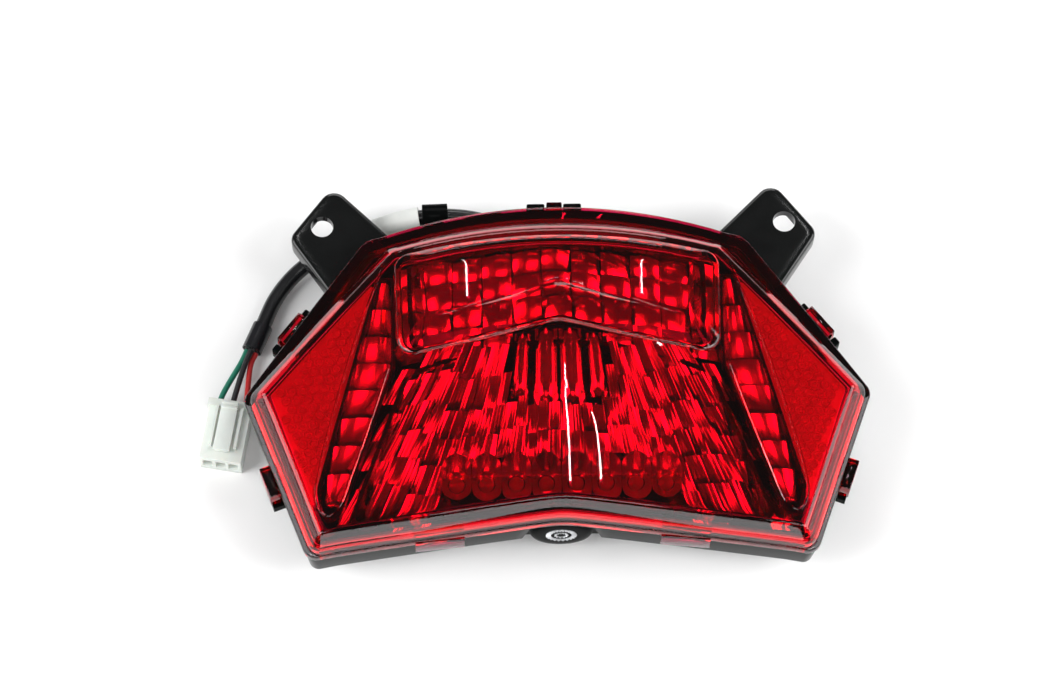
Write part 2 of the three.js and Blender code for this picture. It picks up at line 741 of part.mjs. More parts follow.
part("brake_led_board", board(41, 6, 21.6, BRAKE_BOARD_Z, boardScrewAt.slice(0, 2)), circuitGreen);
part("tail_led_board", board(45, -43.4, -30.4, TAIL_BOARD_Z, boardScrewAt.slice(2)), circuitGreen);
const tailTop = TAIL_BOARD_Z + BOARD_THICK + GAP;
const brakeTop = BRAKE_BOARD_Z + BOARD_THICK + GAP;
part("regulator_chip", box(-4, 4, -35.8, -31.4, tailTop, tailTop + 1.8), chipBlack);
part("tail_resistor", box(9, 15.4, -35.2, -32, tailTop, tailTop + 1.1), chipBlack);
part("brake_resistor", box(-3.2, 3.2, 8, 11.2, brakeTop, brakeTop + 1.1), chipBlack);
BRAKE_LED_X.forEach((x, i) => {
  part(`brake_led_${i + 1}`, led(), ledEpoxy).position.set(x, BRAKE_LED_Y, brakeTop);
});
TAIL_LED_X.forEach((x, i) => {
  part(`tail_led_${i + 1}`, led(), ledEpoxy).position.set(x, TAIL_LED_Y, tailTop);
});

boardScrewAt.forEach(([x, y], i) => {
  const mesh = part(`board_screw_${i + 1}`, screw(8), zincSteel);
  mesh.position.set(x, y, boardFoot(y) + BOARD_THICK + GAP);
  mesh.rotation.x = Math.PI;
});
reflectorScrewAt.forEach(([x, y], i) => {
  part(`reflector_screw_${i + 1}`, screw(10), zincSteel).position.set(x, y, padFoot(x) - GAP);
});
part("clip_screw", screw(9.5), zincSteel).position.set(...clipScrewAt, 13.1 - GAP);

// vent cap on the round boss in the bottom wall
const ventProfile = [
  [0, 0],
  [7.2, 0],
  [9, 0.5],
  [VENT_R, 1.3],
  [VENT_R, VENT_DEPTH],
  [8.3, VENT_DEPTH],
  [8.3, 1.6],
  [0, 1.6],
].map(([r, y]) => new THREE.Vector2(r, y));
part("vent_cap", new THREE.LatheGeometry(ventProfile, 20), blackRubber).position.set(
  0,
  VENT_FACE_Y,
  VENT_Z,
);

// leads inside the housing, from the grommet to the boards
const [outletX] = cableRoute[0];
const leadFoot = GAP + WIRE_R; // below a board's underside
const innerLeads = [
  {
    name: "lead_brake",
    colour: "red",
    side: -2.2,
    via: [[-12, 9, 10.4], [-16, 5, 13]],
    end: [-18, 8.5, BRAKE_BOARD_Z - leadFoot],
  },
  {
    name: "lead_tail",
    colour: "green",
    side: 0,
    via: [[-8.5, 4, 9], [-12, -18, 8.5], [-13, -30, 13]],
    end: [-13, -34, TAIL_BOARD_Z - leadFoot],
  },
  {
    name: "lead_ground",
    colour: "black",
    side: 2.2,
    via: [[-3.5, 4, 9], [3, -18, 8.5], [6, -30, 13]],
    end: [6, -34, TAIL_BOARD_Z - leadFoot],
  },
];
for (const { name, colour, side, via, end } of innerLeads) {
  const path = curveThrough([[outletX + side, 15.9 - GAP, CABLE_Z], ...via, end]);
  part(name, along(path, WIRE_R, 8, 6), plastic(wireColours[colour], 0.5));
}

part("cable_grommet", cableGrommet(), blackRubber);
part("cable_clip", cableClip(), blackPlastic);
part("cable_sheath", along(cablePath, CABLE_R, 30, 8), blackRubber);
const sleevePath = new Route(cablePath, ...SLEEVE_X.map(shareAtX));
part("white_sleeve", along(sleevePath, SLEEVE_R, 5, 10, BORE_R), sleeveWhite);

const connector = new THREE.Group();
connector.position.set(...CONNECTOR_AT, 0);
connector.rotation.z = CONNECTOR_TURN;
lamp.add(connector);
part("connector_housing", connectorHousing(), whiteNylon, connector);
part("connector_latch", connectorLatch(), whiteNylon, connector);
ways.forEach((x, i) => {
  part(`terminal_${i + 1}`, terminal(x), tinnedBrass, connector);
});

// single wires from the end of the sheath into the connector
connector.updateMatrixWorld();
const sheathEnd = cablePath.getPoint(1);
const sheathWay = cablePath.getTangent(1);
const across = new THREE.Vector3(0, 0, 1).cross(sheathWay).normalize();
Object.entries(wireColours).forEach(([colour, hex], i) => {
  const side = (i - 1) * 1.5;
  const lift = i === 1 ? 0.9 : -0.5;
  const start = sheathEnd
    .clone()
    .addScaledVector(sheathWay, GAP)
    .addScaledVector(across, side)
    .add(new THREE.Vector3(0, 0, lift));
  const next = start.clone().addScaledVector(sheathWay, 4);
  const wayX = ways[i];
  const entry = connector.localToWorld(new THREE.Vector3(wayX, 2, WAY_Z));
  const end = connector.localToWorld(new THREE.Vector3(wayX, -4, WAY_Z));
  const path = curveThrough([start, next, entry, end].map((p) => p.toArray()));
  part(`wire_${colour}`, along(path, WIRE_R, 6, 8), plastic(hex, 0.5));
});
const bootPath = new Route(cablePath, 1 - BOOT_LENGTH / cableLength, 1);
part("sheath_boot", along(bootPath, BOOT_R, 3, 10, BORE_R), blackRubber);

export default lamp;
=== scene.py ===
"""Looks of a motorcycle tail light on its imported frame: a red lens over chromed facets, a glossy
black housing with two ears, and a short lead with a white plug. Sizes are millimetres until a mesh
is made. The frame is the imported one: +Z is the way the lens faces, +Y is towards the ears."""

import cmath
import math
import random
from collections import namedtuple

import bmesh
import bpy
from mathutils import Matrix, Quaternion, Vector


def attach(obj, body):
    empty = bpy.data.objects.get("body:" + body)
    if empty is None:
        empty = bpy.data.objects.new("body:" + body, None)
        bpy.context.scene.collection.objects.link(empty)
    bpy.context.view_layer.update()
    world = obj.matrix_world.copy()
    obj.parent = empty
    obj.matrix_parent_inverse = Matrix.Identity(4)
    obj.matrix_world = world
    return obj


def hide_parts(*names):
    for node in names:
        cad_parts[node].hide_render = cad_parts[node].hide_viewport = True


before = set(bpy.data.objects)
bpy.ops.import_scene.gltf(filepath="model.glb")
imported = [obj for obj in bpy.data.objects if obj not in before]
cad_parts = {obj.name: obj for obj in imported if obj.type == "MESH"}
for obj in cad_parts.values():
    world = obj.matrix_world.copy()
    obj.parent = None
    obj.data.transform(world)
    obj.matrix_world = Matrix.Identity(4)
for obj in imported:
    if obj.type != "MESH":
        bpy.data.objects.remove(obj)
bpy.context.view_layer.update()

MM = 0.001
scene = bpy.context.scene
collection = scene.collection

# ---------------- camera

AZIMUTH = math.radians(-3.89)
ELEVATION = math.radians(66.7)
ROLL = math.radians(2.84)
DISTANCE = 1100
FOCAL_LENGTH = 124.7
SENSOR_WIDTH = 36
AIM = Vector((-10.4, -1.45, 43.4))

camera_data = bpy.data.cameras.new("camera")
camera_data.lens = FOCAL_LENGTH
camera_data.sensor_width = SENSOR_WIDTH
camera_data.clip_start = 0.01
camera_data.clip_end = 50
camera = bpy.data.objects.new("camera", camera_data)
collection.objects.link(camera)
forward = math.cos(ELEVATION)
towards_camera = Vector(
    (math.sin(AZIMUTH) * forward, -math.cos(AZIMUTH) * forward, math.sin(ELEVATION))
)
camera.location = (AIM + towards_camera * DISTANCE) * MM
camera.rotation_mode = "QUATERNION"
level_view = (-towards_camera).to_track_quat("-Z", "Y")
camera.rotation_quaternion = level_view @ Quaternion((0, 0, 1), ROLL)
scene.camera = camera

# ---------------- materials

# sizes of the noise in the roughness and in the colour
CLOUD_SIZE, PATCH_SIZE = 14, 5
NOISE_MIDDLE = (0.3, 0.7)
GRAIN_STRENGTH = 0.5


def noise(nodes, links, place, size, detail):
    """A noise texture with features of a size in millimetres."""
    texture = nodes.new("ShaderNodeTexNoise")
    texture.inputs["Scale"].default_value = 1000 / size
    texture.inputs["Detail"].default_value = detail
    links.new(place, texture.inputs["Vector"])
    return texture.outputs["Fac"]


def spread(nodes, links, value, low, high):
    """The middle of a noise stretched to a range."""
    step = nodes.new("ShaderNodeMapRange")
    ends = ("From Min", "From Max", "To Min", "To Max")
    for socket, number in zip(ends, (*NOISE_MIDDLE, low, high)):
        step.inputs[socket].default_value = number
    links.new(value, step.inputs["Value"])
    return step.outputs["Result"]


def material(name, color, roughness, metallic=0.0, mottle=0.12, bump=(1, 0.01), **more):
    """A moulded, plated or painted finish.

    mottle is how far the colour wanders as a share of itself, and bump is the size and height of
    the surface grain in millimetres. The names in more are sockets of the shader.
    """
    made = bpy.data.materials.new(name)
    made.use_nodes = True
    nodes, links = made.node_tree.nodes, made.node_tree.links
    shader = nodes["Principled BSDF"]
    shader.inputs["Metallic"].default_value = metallic
    for socket, value in more.items():
        shader.inputs[socket.replace("_", " ")].default_value = value
    place = nodes.new("ShaderNodeTexCoord").outputs["Object"]
    cloudy = noise(nodes, links, place, CLOUD_SIZE, 5)
    rough = spread(nodes, links, cloudy, roughness * 0.75, roughness * 1.25)
    links.new(rough, shader.inputs["Roughness"])
    if mottle:
        patches = noise(nodes, links, place, PATCH_SIZE, 6)
        tint = nodes.new("ShaderNodeMix")
        tint.data_type = "RGBA"
        dark = [c * (1 - mottle) for c in color]
        light = [min(1, c * (1 + mottle)) for c in color]
        tint.inputs[6].default_value = (*dark, 1)
        tint.inputs[7].default_value = (*light, 1)
        links.new(spread(nodes, links, patches, 0, 1), tint.inputs[0])
        links.new(tint.outputs[2], shader.inputs["Base Color"])
    else:
        shader.inputs["Base Color"].default_value = (*color, 1)
    grain = nodes.new("ShaderNodeBump")
    grain.inputs["Strength"].default_value = GRAIN_STRENGTH
    grain.inputs["Distance"].default_value = bump[1] * MM
    links.new(noise(nodes, links, place, bump[0], 3), grain.inputs["Height"])
    links.new(grain.outputs["Normal"], shader.inputs["Normal"])
    return made


DYE_DENSITY = 600

lens_red = material(
    "lens_red", (0.98, 0.02, 0.2), 0.014, mottle=0, bump=(9, 0.004), Transmission_Weight=1.0, IOR=1.49
)
dye = lens_red.node_tree.nodes.new("ShaderNodeVolumeAbsorption")
dye.inputs["Color"].default_value = (0.93, 0.2, 0.4, 1)
dye.inputs["Density"].default_value = DYE_DENSITY
lens_volume = lens_red.node_tree.nodes["Material Output"].inputs["Volume"]
lens_red.node_tree.links.new(dye.outputs["Volume"], lens_volume)
chrome = material("chrome", (0.95, 0.95, 0.96), 0.19, 1.0, mottle=0.04, bump=(2.2, 0.02))
# painted shade: the trays and side reflectors are bright chrome on the real lamp but get this
# near-black chrome so the gaps between facets and the walls behind the lens look dark
painted_shade_chrome = material("painted_shade_chrome", (0.1, 0.1, 0.11), 0.25, 1.0, bump=(2.2, 0.02))
reflex_red = material("reflex_red", (1.0, 0.05, 0.5), 0.3, 0.1, mottle=0.1, bump=(0.8, 0.03))
# painted shade: the housing's glossy black has its specular nearly taken away, so its walls don't
# reflect the lit floor and stay dark
painted_shade_black = material(
    "painted_shade_black", (0.003, 0.0035, 0.0035), 0.14, bump=(1.6, 0.008), Specular_IOR_Level=0.015
)
# painted highlight: a lit copy of the same black for the ear faces, a little lighter and with full
# specular, so the ears alone catch bright edge highlights
painted_highlight_black = material("painted_highlight_black", (0.005, 0.0055, 0.0055), 0.12, bump=(1.6, 0.01))
rubber_black = material("rubber_black", (0.018, 0.018, 0.02), 0.55, bump=(0.5, 0.05))
sheath_black = material("sheath_black", (0.012, 0.012, 0.013), 0.24, bump=(0.7, 0.05))
boot_black = material("boot_black", (0.012, 0.012, 0.014), 0.16, bump=(1.2, 0.02))
circuit_green = material("circuit_green", (0.02, 0.12, 0.05), 0.4, mottle=0.3, bump=(0.4, 0.02))
chip_black = material("chip_black", (0.02, 0.02, 0.02), 0.4, bump=(0.3, 0.02))
led_red = material(
    "led_red", (0.9, 0.12, 0.1), 0.06, mottle=0, bump=(3, 0.004), Transmission_Weight=0.6, IOR=1.5
)
steel = material("steel", (0.66, 0.67, 0.69), 0.28, 1.0, bump=(0.4, 0.02))
nylon_white = material(
    "nylon_white", (0.7, 0.72, 0.67), 0.38, mottle=0.05, bump=(0.6, 0.03), Subsurface_Weight=0.1
)
sleeve_white = material("sleeve_white", (0.78, 0.8, 0.77), 0.3, mottle=0.06, bump=(1.4, 0.05))
tin = material("tin", (0.7, 0.66, 0.52), 0.3, 1.0, bump=(0.4, 0.02))
WIRE_COLOURS = {"green": (0.01, 0.16, 0.1), "black": (0.02, 0.02, 0.022), "red": (0.5, 0.02, 0.02)}
wire_paint = {}
for name, tone in WIRE_COLOURS.items():
    wire_paint[name] = material(f"wire_{name}", tone, 0.35, bump=(0.6, 0.03))
vent_metal = material("vent_metal", (0.6, 0.61, 0.63), 0.3, 1.0, mottle=0.4, bump=(0.5, 0.12))
floor_white = material("floor_white", (0.92, 0.92, 0.92), 0.6, mottle=0, bump=(20, 0.01))


def paint(node, finish):
    """Gives a CAD node another finish."""
    thing = bpy.data.objects[node]
    for slot in thing.material_slots:
        slot.material = finish
    return thing


# ---------------- meshes

# edges that turn by more degrees than this stay sharp
SHARP = 35
# edges that turn by more degrees than this get a bevel
BEVELLED = 30


def make(name, points, faces, finish, sharp=SHARP):
    """An object from points in millimetres, smooth but for edges sharper than an angle."""
    mesh = bpy.data.meshes.new(name)
    mesh.from_pydata([Vector(p) * MM for p in points], [], faces)
    mesh.materials.append(finish)
    shade(mesh, sharp)
    thing = bpy.data.objects.new(name, mesh)
    collection.objects.link(thing)
    return thing


def shade(mesh, sharp):
    """Smooth faces, with a hard line only at sharp and open edges."""
    limit = math.radians(sharp)
    work = bmesh.new()
    work.from_mesh(mesh)
    for face in work.faces:
        face.smooth = True
    for edge in work.edges:
        edge.smooth = len(edge.link_faces) == 2 and edge.calc_face_angle(0) < limit
    work.to_mesh(mesh)
    work.free()


def bake(thing, sharp=SHARP):
    """Turns what the modifiers make into the object's own mesh."""
    seen = thing.evaluated_get(bpy.context.evaluated_depsgraph_get())
    mesh = bpy.data.meshes.new_from_object(seen)
    thing.modifiers.clear()
    thing.data = mesh
    shade(mesh, sharp)
    return thing


def combine(operation, target, *tools, sharp=SHARP):
    """Joins tools to a solid or cuts them from it, one after another."""
    for tool in tools:
        step = target.modifiers.new(operation, "BOOLEAN")
        step.solver = "MANIFOLD"
        step.operation = operation
        step.object = tool
    bake(target, sharp)
    for tool in tools:
        bpy.data.objects.remove(tool)
    return target


def band(low, high, sides):
    """Faces between two rings of points, given the first point of each."""
    steps = [(i, (i + 1) % sides) for i in range(sides)]
    return [(low + i, low + j, high + j, high + i) for i, j in steps]


def turned(name, profile, finish, sides):
    """A body of revolution about Z from (radius, z) points that start and end on the axis."""
    inner = profile[1:-1]
    points = [(0, 0, profile[0][1]), (0, 0, profile[-1][1])]
    for r, z in inner:
        for i in range(sides):
            a = 2 * math.pi * i / sides
            points.append((r * math.cos(a), r * math.sin(a), z))
    faces = []
    last = 2 + (len(inner) - 1) * sides
    for i in range(sides):
        j = (i + 1) % sides
        faces.append((0, 2 + j, 2 + i))
        faces.append((1, last + i, last + j))
        for k in range(len(inner) - 1):
            low = 2 + k * sides
            faces.append((low + i, low + j, low + sides + j, low + sides + i))
    return make(name, points, faces, finish)


def move(thing, matrix):
    thing.data.transform(matrix)
    return thing


def shift(x, y, z):
    return Matrix.Translation(Vector((x, y, z)) * MM)


def turn(axis, degrees):
    return Matrix.Rotation(math.radians(degrees), 4, axis)


def mirror(thing):
    """Puts a piece on the other side of the centre line."""
    thing.data.transform(Matrix.Scale(-1, 4, Vector((1, 0, 0))))
    thing.data.flip_normals()
    return thing


def hand(side):
    return "right" if side > 0 else "left"


def block(name, low, high, finish):
    """A box between two corners."""
    xs, ys, zs = zip(low, high)
    points = [(x, y, z) for z in zs for y in ys for x in xs]
    faces = [(0, 2, 3, 1), (4, 5, 7, 6), (0, 1, 5, 4), (1, 3, 7, 5), (3, 2, 6, 7), (2, 0, 4, 6)]
    return make(name, points, faces, finish)


def rod(name, radius, start, end, finish, sides=24):
    """A straight cylinder between two points."""
    start, end = Vector(start), Vector(end)
    length = (end - start).length
    thing = turned(name, [(0, 0), (radius, 0), (radius, length), (0, length)], finish, sides)
    aim = (end - start).to_track_quat("Z", "Y").to_matrix().to_4x4()
    return move(thing, shift(*start) @ aim)


def bevel(thing, width):
    step = thing.modifiers.new("bevel", "BEVEL")
    step.width = width * MM
    step.segments = 2
    step.limit_method = "ANGLE"
    step.angle_limit = math.radians(BEVELLED)
    step.use_clamp_overlap = True
    return bake(thing)


def copy_of(node, name, finish, width):
    """A stand-in for a CAD node with its edges bevelled."""
    source = bpy.data.objects[node]
    thing = bpy.data.objects.new(name, source.data.copy())
    collection.objects.link(thing)
    thing.data.transform(source.matrix_world)
    thing.data.materials.clear()
    thing.data.materials.append(finish)
    work = bmesh.new()
    work.from_mesh(thing.data)
    bmesh.ops.remove_doubles(work, verts=work.verts, dist=1e-6)
    flat_enough = math.radians(1)
    bmesh.ops.dissolve_limit(work, angle_limit=flat_enough, verts=work.verts, edges=work.edges)
    work.to_mesh(thing.data)
    work.free()
    bevel(thing, width)
    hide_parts(node)
    return thing


def own(thing, slot, *nodes, body="lamp"):
    """Hides the CAD nodes a piece stands for and puts it on the body it rides on; slot is not used.
    """
    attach(thing, body)
    if nodes:
        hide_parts(*nodes)
    return thing


# ---------------- outlines and lofts

GAP = 0.35
WALL = 2.4
HALF_WIDTH = 96.8
SWEEP = 14
SEAM_Z, LEDGE_Z, FLANGE_Z, BEVEL_Z, FACE_Z = 33, 28, 36, 40, 44
# the bulge of the lens face: its height, half width, middle and half depth
FACE_RISE, FACE_HALF, FACE_MIDDLE_Y, FACE_DEPTH = 2, 96, -9, 54
POD_Z = 48.6
WING_Z = 18
CABLE_Z = 11
# rings that round an edge of a loft
ARC_RINGS = 5
# how far the lens skirt and the wall that holds it are inside the flange
SKIRT_IN = 3.2

# outlines: the corners on the right with their radii, the bow of the top edge and the arch of the
# bottom edge
FLANGE = {"half": [(76.8, -61.6, 5), (96.8, -7.4, 4), (58.5, 42.3, 8)], "bow": 7.8, "arch": 7.2}
CROWN = {"half": [(75.6, -61, 4.5), (94.9, -8.6, 4), (51.5, 37.2, 7)], "bow": 5.5, "arch": 7.2}
BACK_BOX = {"half": [(50, -47, 6), (54, -12, 6), (48, 22.5, 6)], "bow": 0, "arch": 0}
POD = {"half": [(49, -2.4, 6), (50, 31.4, 5)], "bow": 4.4, "arch": 9.3}
PLATEAU = {"half": [(41, 8.5, 4), (43.5, 29.8, 3)], "bow": 4, "arch": 9}


def drop(x):
    """How far the lamp is swept back at a distance from its middle."""
    return SWEEP * (x / HALF_WIDTH) ** 2


def flat(z):
    return lambda x, y: z


def level(base, share=1.0):
    """A height that follows a share of the sweep."""
    return lambda x, y: base - share * drop(x)


def crowned(base):
    """A height that follows the sweep and bulges smoothly over the middle of the face."""

    def height(x, y):
        across = 1 - (x / FACE_HALF) ** 2
        along = 1 - ((y - FACE_MIDDLE_Y) / FACE_DEPTH) ** 2
        return base - drop(x) + FACE_RISE * across * along

    return height


def parabola(height):
    return lambda s: height * (1 - s * s)


def chevron(height):
    """A peak in the middle, a little rounded, with slightly hollow flanks."""

    def bow(s):
        t = math.hypot(s, 0.05) - 0.05
        return height * (1 - 1.35 * t + 0.35 * t * t)

    return bow


def outline(corners, steps, bows, inset, arc):
    """Points of a closed outline, counter-clockwise, as complex numbers.

    Each corner is x, y and a radius, drawn with arc steps. steps and bows give the points on the
    edge after each corner and how it bows, and inset moves the whole outline inwards.
    """
    count = len(corners)
    turns = []
    for i, (x, y, radius) in enumerate(corners):
        here = complex(x, y)
        before = complex(*corners[i - 1][:2])
        after = complex(*corners[(i + 1) % count][:2])
        into = (here - before) / abs(here - before)
        out = (after - here) / abs(after - here)
        normal_in, normal_out = into * 1j, out * 1j
        lean = 1 + (normal_in.conjugate() * normal_out).real
        inwards = (normal_in + normal_out) / lean
        r = max(radius - inset, 0.5)
        turns.append((here + inwards * (inset + r), normal_in, cmath.phase(out / into), r))
    points = []
    for i, (centre, normal, angle, r) in enumerate(turns):
        for k in range(arc + 1):
            points.append(centre - normal * cmath.exp(1j * angle * k / arc) * r)
        next_centre, next_normal, _, next_r = turns[(i + 1) % count]
        start = points[-1]
        end = next_centre - next_normal * next_r
        for k in range(1, steps[i] + 1):
            even = 2 * k / (steps[i] + 1) - 1
            # the points of a bowed edge lie closer together in its middle
            s = even * (0.65 + 0.35 * even * even) if bows[i] else even
            lift = 1j * bows[i](s) if bows[i] else 0
            points.append(start + (end - start) * (s + 1) / 2 + lift)
    return points


def both_sides(half):
    return half + [(-x, y, r) for x, y, r in reversed(half)]


def symmetric(edge, inset):
    """Points of an outline that is the same on both sides of the centre line."""
    corners = both_sides(edge["half"])
    bows = [None] * len(corners)
    steps = [10] * len(corners)
    top, bottom = len(edge["half"]) - 1, len(corners) - 1
    bows[top], bows[bottom] = parabola(edge["bow"]), chevron(edge["arch"])
    steps[top], steps[bottom] = 28, 44
    return outline(corners, steps, bows, inset, 8)


def polygon(corners, inset):
    """Points of an outline with straight edges."""
    return outline(corners, [6] * len(corners), [None] * len(corners), inset, 6)


def inside_of(edge_points, p):
    """Whether a plan point is inside a closed outline."""
    hits = 0
    for a, b in zip(edge_points, edge_points[1:] + edge_points[:1]):
        if (a.imag > p.imag) != (b.imag > p.imag):
            if p.real < a.real + (b.real - a.real) * (p.imag - a.imag) / (b.imag - a.imag):
                hits += 1
    return hits % 2 == 1


def lifted_ring(points, height, reach=0.0):
    """An outline lifted to a height, with its middle, and how far its edge is rounded."""
    lifted = [Vector((p.real, p.imag, height(p.real, p.imag))) for p in points]
    middle = sum(points) / len(points)
    return lifted, Vector((middle.real, middle.imag, height(middle.real, middle.imag))), reach


def ring(edge, inset, height, reach=0.0):
    """A lifted ring of a symmetric outline, or of one given by its corners alone."""
    points = symmetric(edge, inset) if "half" in edge else polygon(edge, inset)
    return lifted_ring(points, height, reach)


def dome(last, height, rise, shares):
    """Rings that close a loft with a shallow dome."""
    points, middle, _ = last

    def inner_ring(share):
        lift = rise * (1 - (1 - share) ** 2)
        inner = [p.lerp(middle, share) for p in points]
        return lifted_ring([complex(p.x, p.y) for p in inner], lambda x, y: height(x, y) + lift)

    return [inner_ring(share) for share in shares]


def softened(rings):
    """Rings with each marked one replaced by an arc of rings."""
    made = []
    for k, (points, middle, reach) in enumerate(rings):
        if not reach or k in (0, len(rings) - 1):
            made.append((points, middle, 0))
            continue
        for step in range(ARC_RINGS):
            t = step / (ARC_RINGS - 1)
            arc = []
            for low, here, high in zip(rings[k - 1][0], points, rings[k + 1][0]):
                down, up = low - here, high - here
                start = here + down * min(0.45, reach / max(down.length, 1e-6))
                end = here + up * min(0.45, reach / max(up.length, 1e-6))
                arc.append(start * (1 - t) ** 2 + here * 2 * t * (1 - t) + end * t * t)
            made.append((arc, middle, 0))
    return made


def loft(name, finish, *rings):
    """A closed solid through rings, from the lowest up."""
    rings = softened(rings)
    size = len(rings[0][0])
    points = [p for ring_points, _, _ in rings for p in ring_points]
    faces = []
    for k in range(len(rings) - 1):
        faces += band(k * size, (k + 1) * size, size)
    points += [rings[0][1], rings[-1][1]]
    low, start = len(points) - 2, (len(rings) - 1) * size
    for i in range(size):
        j = (i + 1) % size
        faces.append((low, j, i))
        faces.append((low + 1, start + i, start + j))
    return make(name, points, faces, finish)


# edges of the flange, counter-clockwise from the lower right
LOWER_RIGHT, UPPER_RIGHT, TOP, UPPER_LEFT, LOWER_LEFT, BOTTOM = range(6)


def on_flange(i, share):
    """Where share along edge i of the flange lies, and which way the edge runs there."""
    corners = both_sides(FLANGE["half"])
    (ax, ay, _), (bx, by, _) = corners[i], corners[(i + 1) % len(corners)]
    bow = {TOP: parabola(FLANGE["bow"]), BOTTOM: chevron(FLANGE["arch"])}.get(i, lambda s: 0)

    def at(t):
        return ax + (bx - ax) * t, ay + (by - ay) * t + bow(2 * t - 1)

    (x, y), (next_x, next_y) = at(share), at(share + 0.01)
    return x, y, math.degrees(math.atan2(next_y - y, next_x - x))


def edge_block(name, clip, ends, out, z, finish, width=0.0):
    """A block at a clip of the lamp's edge, between two ends along the edge and two outwards."""
    x, y, angle = on_flange(clip.edge, clip.share)
    thing = block(name, (ends[0], -out[1], z[0]), (ends[1], -out[0], z[1]), finish)
    if width:
        bevel(thing, width)
    return move(thing, shift(x, y, -drop(x)) @ turn("Z", angle))


# where the lens clips on: the half width of the red tab, how far it stands proud, and the length of
# the black catches beside it
Clip = namedtuple("Clip", "edge share half proud catch")
CLIPS = [
    Clip(TOP, 0.5, 2.4, 2.2, 5.6),
    Clip(UPPER_RIGHT, 0.43, 5.5, 3.2, 2.6),
    Clip(UPPER_LEFT, 0.57, 5.5, 3.2, 2.6),
    Clip(LOWER_RIGHT, 0.5, 5, 3.2, 0),
    Clip(LOWER_LEFT, 0.5, 5, 3.2, 0),
    Clip(BOTTOM, 0.26, 7.5, 0.6, 0),
    Clip(BOTTOM, 0.74, 7.5, 0.6, 0),
]

# ---------------- the lead

CABLE_R, SLEEVE_R, BOOT_R, BORE_R, WIRE_R = 2.5, 3.4, 3.2, 2.85, 0.9
SLEEVE_ENDS_X = (-41.9, -57.5)
BOOT_LENGTH = 9
CABLE_ROUTE = [(-8, 38.4, 11), (-8.6, 45, 11.4), (-13.5, 51.8, 12.6), (-23, 55.8, 14.6)]
CABLE_ROUTE += [(-37, 56.6, 16), (-47.5, 55.6, 14.6), (-57.5, 53.6, 11.6), (-70, 49.6, 7.2)]
CABLE_ROUTE += [(-80.5, 43.4, 4.1), (-87.6, 34.6, 3.1), (-91.4, 25.4, 3.4), (-95, 16.6, 3.7)]
PLUG_AT = (-100.8, -2.4)
PLUG_TURN = -0.178
WAYS_X = (-4, 0, 4)
WAY_Z = 4.2
WIRE_PITCH = 1.5
# the middle wire leaves the boot above the two others
WIRE_LIFTS = (-0.5, 0.9, -0.5)


def spline(points, per_span=10):
    """Centripetal Catmull-Rom curve through points."""
    points = [Vector(p) for p in points]
    ends = [points[0] * 2 - points[1], points[-1] * 2 - points[-2]]
    chain = [ends[0], *points, ends[1]]
    made = []
    for i in range(1, len(chain) - 2):
        p = chain[i - 1 : i + 3]
        t = [0.0]
        for a, b in zip(p, p[1:]):
            t.append(t[-1] + math.sqrt((b - a).length))
        for k in range(per_span):
            u = t[1] + (t[2] - t[1]) * k / per_span
            row = list(p)
            for depth in (1, 2):
                pairs = zip(row, row[1:], t, t[depth:])
                row = [blend(a, b, ta, tb, u) for a, b, ta, tb in pairs]
            made.append(blend(row[0], row[1], t[1], t[2], u))
    made.append(points[-1])
    return made


def blend(a, b, ta, tb, u):
    """The value at u on the line through a at ta and b at tb."""
    return (a * (tb - u) + b * (u - ta)) / (tb - ta)


def part_way(points, start, end):
    """The stretch of a polyline between two distances along it."""
    made, gone = [], 0.0
    for a, b in zip(points, points[1:]):
        step = (b - a).length
        for mark in (start, end):
            if gone <= mark < gone + step:
                made.append(a.lerp(b, (mark - gone) / step))
        if start < gone + step < end:
            made.append(b)
        gone += step
    return made


def tube(name, path, finish, radius, sides, bore=0.0):
    """A round tube along a path, hollow if it has a bore."""
    frames = []
    side = Vector((0, 0, 1))
    for i, p in enumerate(path):
        way = (path[min(i + 1, len(path) - 1)] - path[max(i - 1, 0)]).normalized()
        side = (side - way * side.dot(way)).normalized()
        frames.append((p, side, way.cross(side)))
    rows = [(place, radius) for place in frames]
    if bore:
        rows += [(place, bore) for place in reversed(frames)]
    points = []
    for (p, u, v), r in rows:
        for k in range(sides):
            a = 2 * math.pi * k / sides
            points.append(p + u * r * math.cos(a) + v * r * math.sin(a))
    faces = []
    count = len(rows)
    for j in range(count if bore else count - 1):
        faces += band(j * sides, (j + 1) % count * sides, sides)
    if not bore:
        faces.append(tuple(reversed(range(sides))))
        faces.append(tuple(range((count - 1) * sides, count * sides)))
    return make(name, points, faces, finish)


def plug_point(x, y, z):
    """A point given in the plug's own directions."""
    c, s = math.cos(PLUG_TURN), math.sin(PLUG_TURN)
    return Vector((PLUG_AT[0] + c * x - s * y, PLUG_AT[1] + s * x + c * y, z))


cable_curve = bpy.data.curves.new("cable", "CURVE")
cable_curve.dimensions = "3D"
cable_curve.bevel_depth = CABLE_R * MM
cable_curve.bevel_resolution = 6
cable_curve.use_fill_caps = True
cable_spline = cable_curve.splines.new("NURBS")
cable_line = spline(CABLE_ROUTE, 3)
cable_spline.points.add(len(cable_line) - 1)
for point, place in zip(cable_spline.points, cable_line):
    point.co = (*(place * MM), 1)
cable_spline.order_u = 4
cable_spline.use_endpoint_u = True
cable_spline.resolution_u = 4
cable_spline.use_smooth = True
cable_curve.materials.append(sheath_black)
cable = bpy.data.objects.new("cable", cable_curve)
collection.objects.link(cable)
own(cable, "sheath", "cable_sheath")

route = spline(CABLE_ROUTE)
route_length = sum((b - a).length for a, b in zip(route, route[1:]))


def length_to_x(x):
    """How far along the route its x comes down to a value."""
    gone = 0.0
    for a, b in zip(route, route[1:]):
        if b.x <= x:
            return gone + (b - a).length * (a.x - x) / (a.x - b.x)
        gone += (b - a).length
    return gone


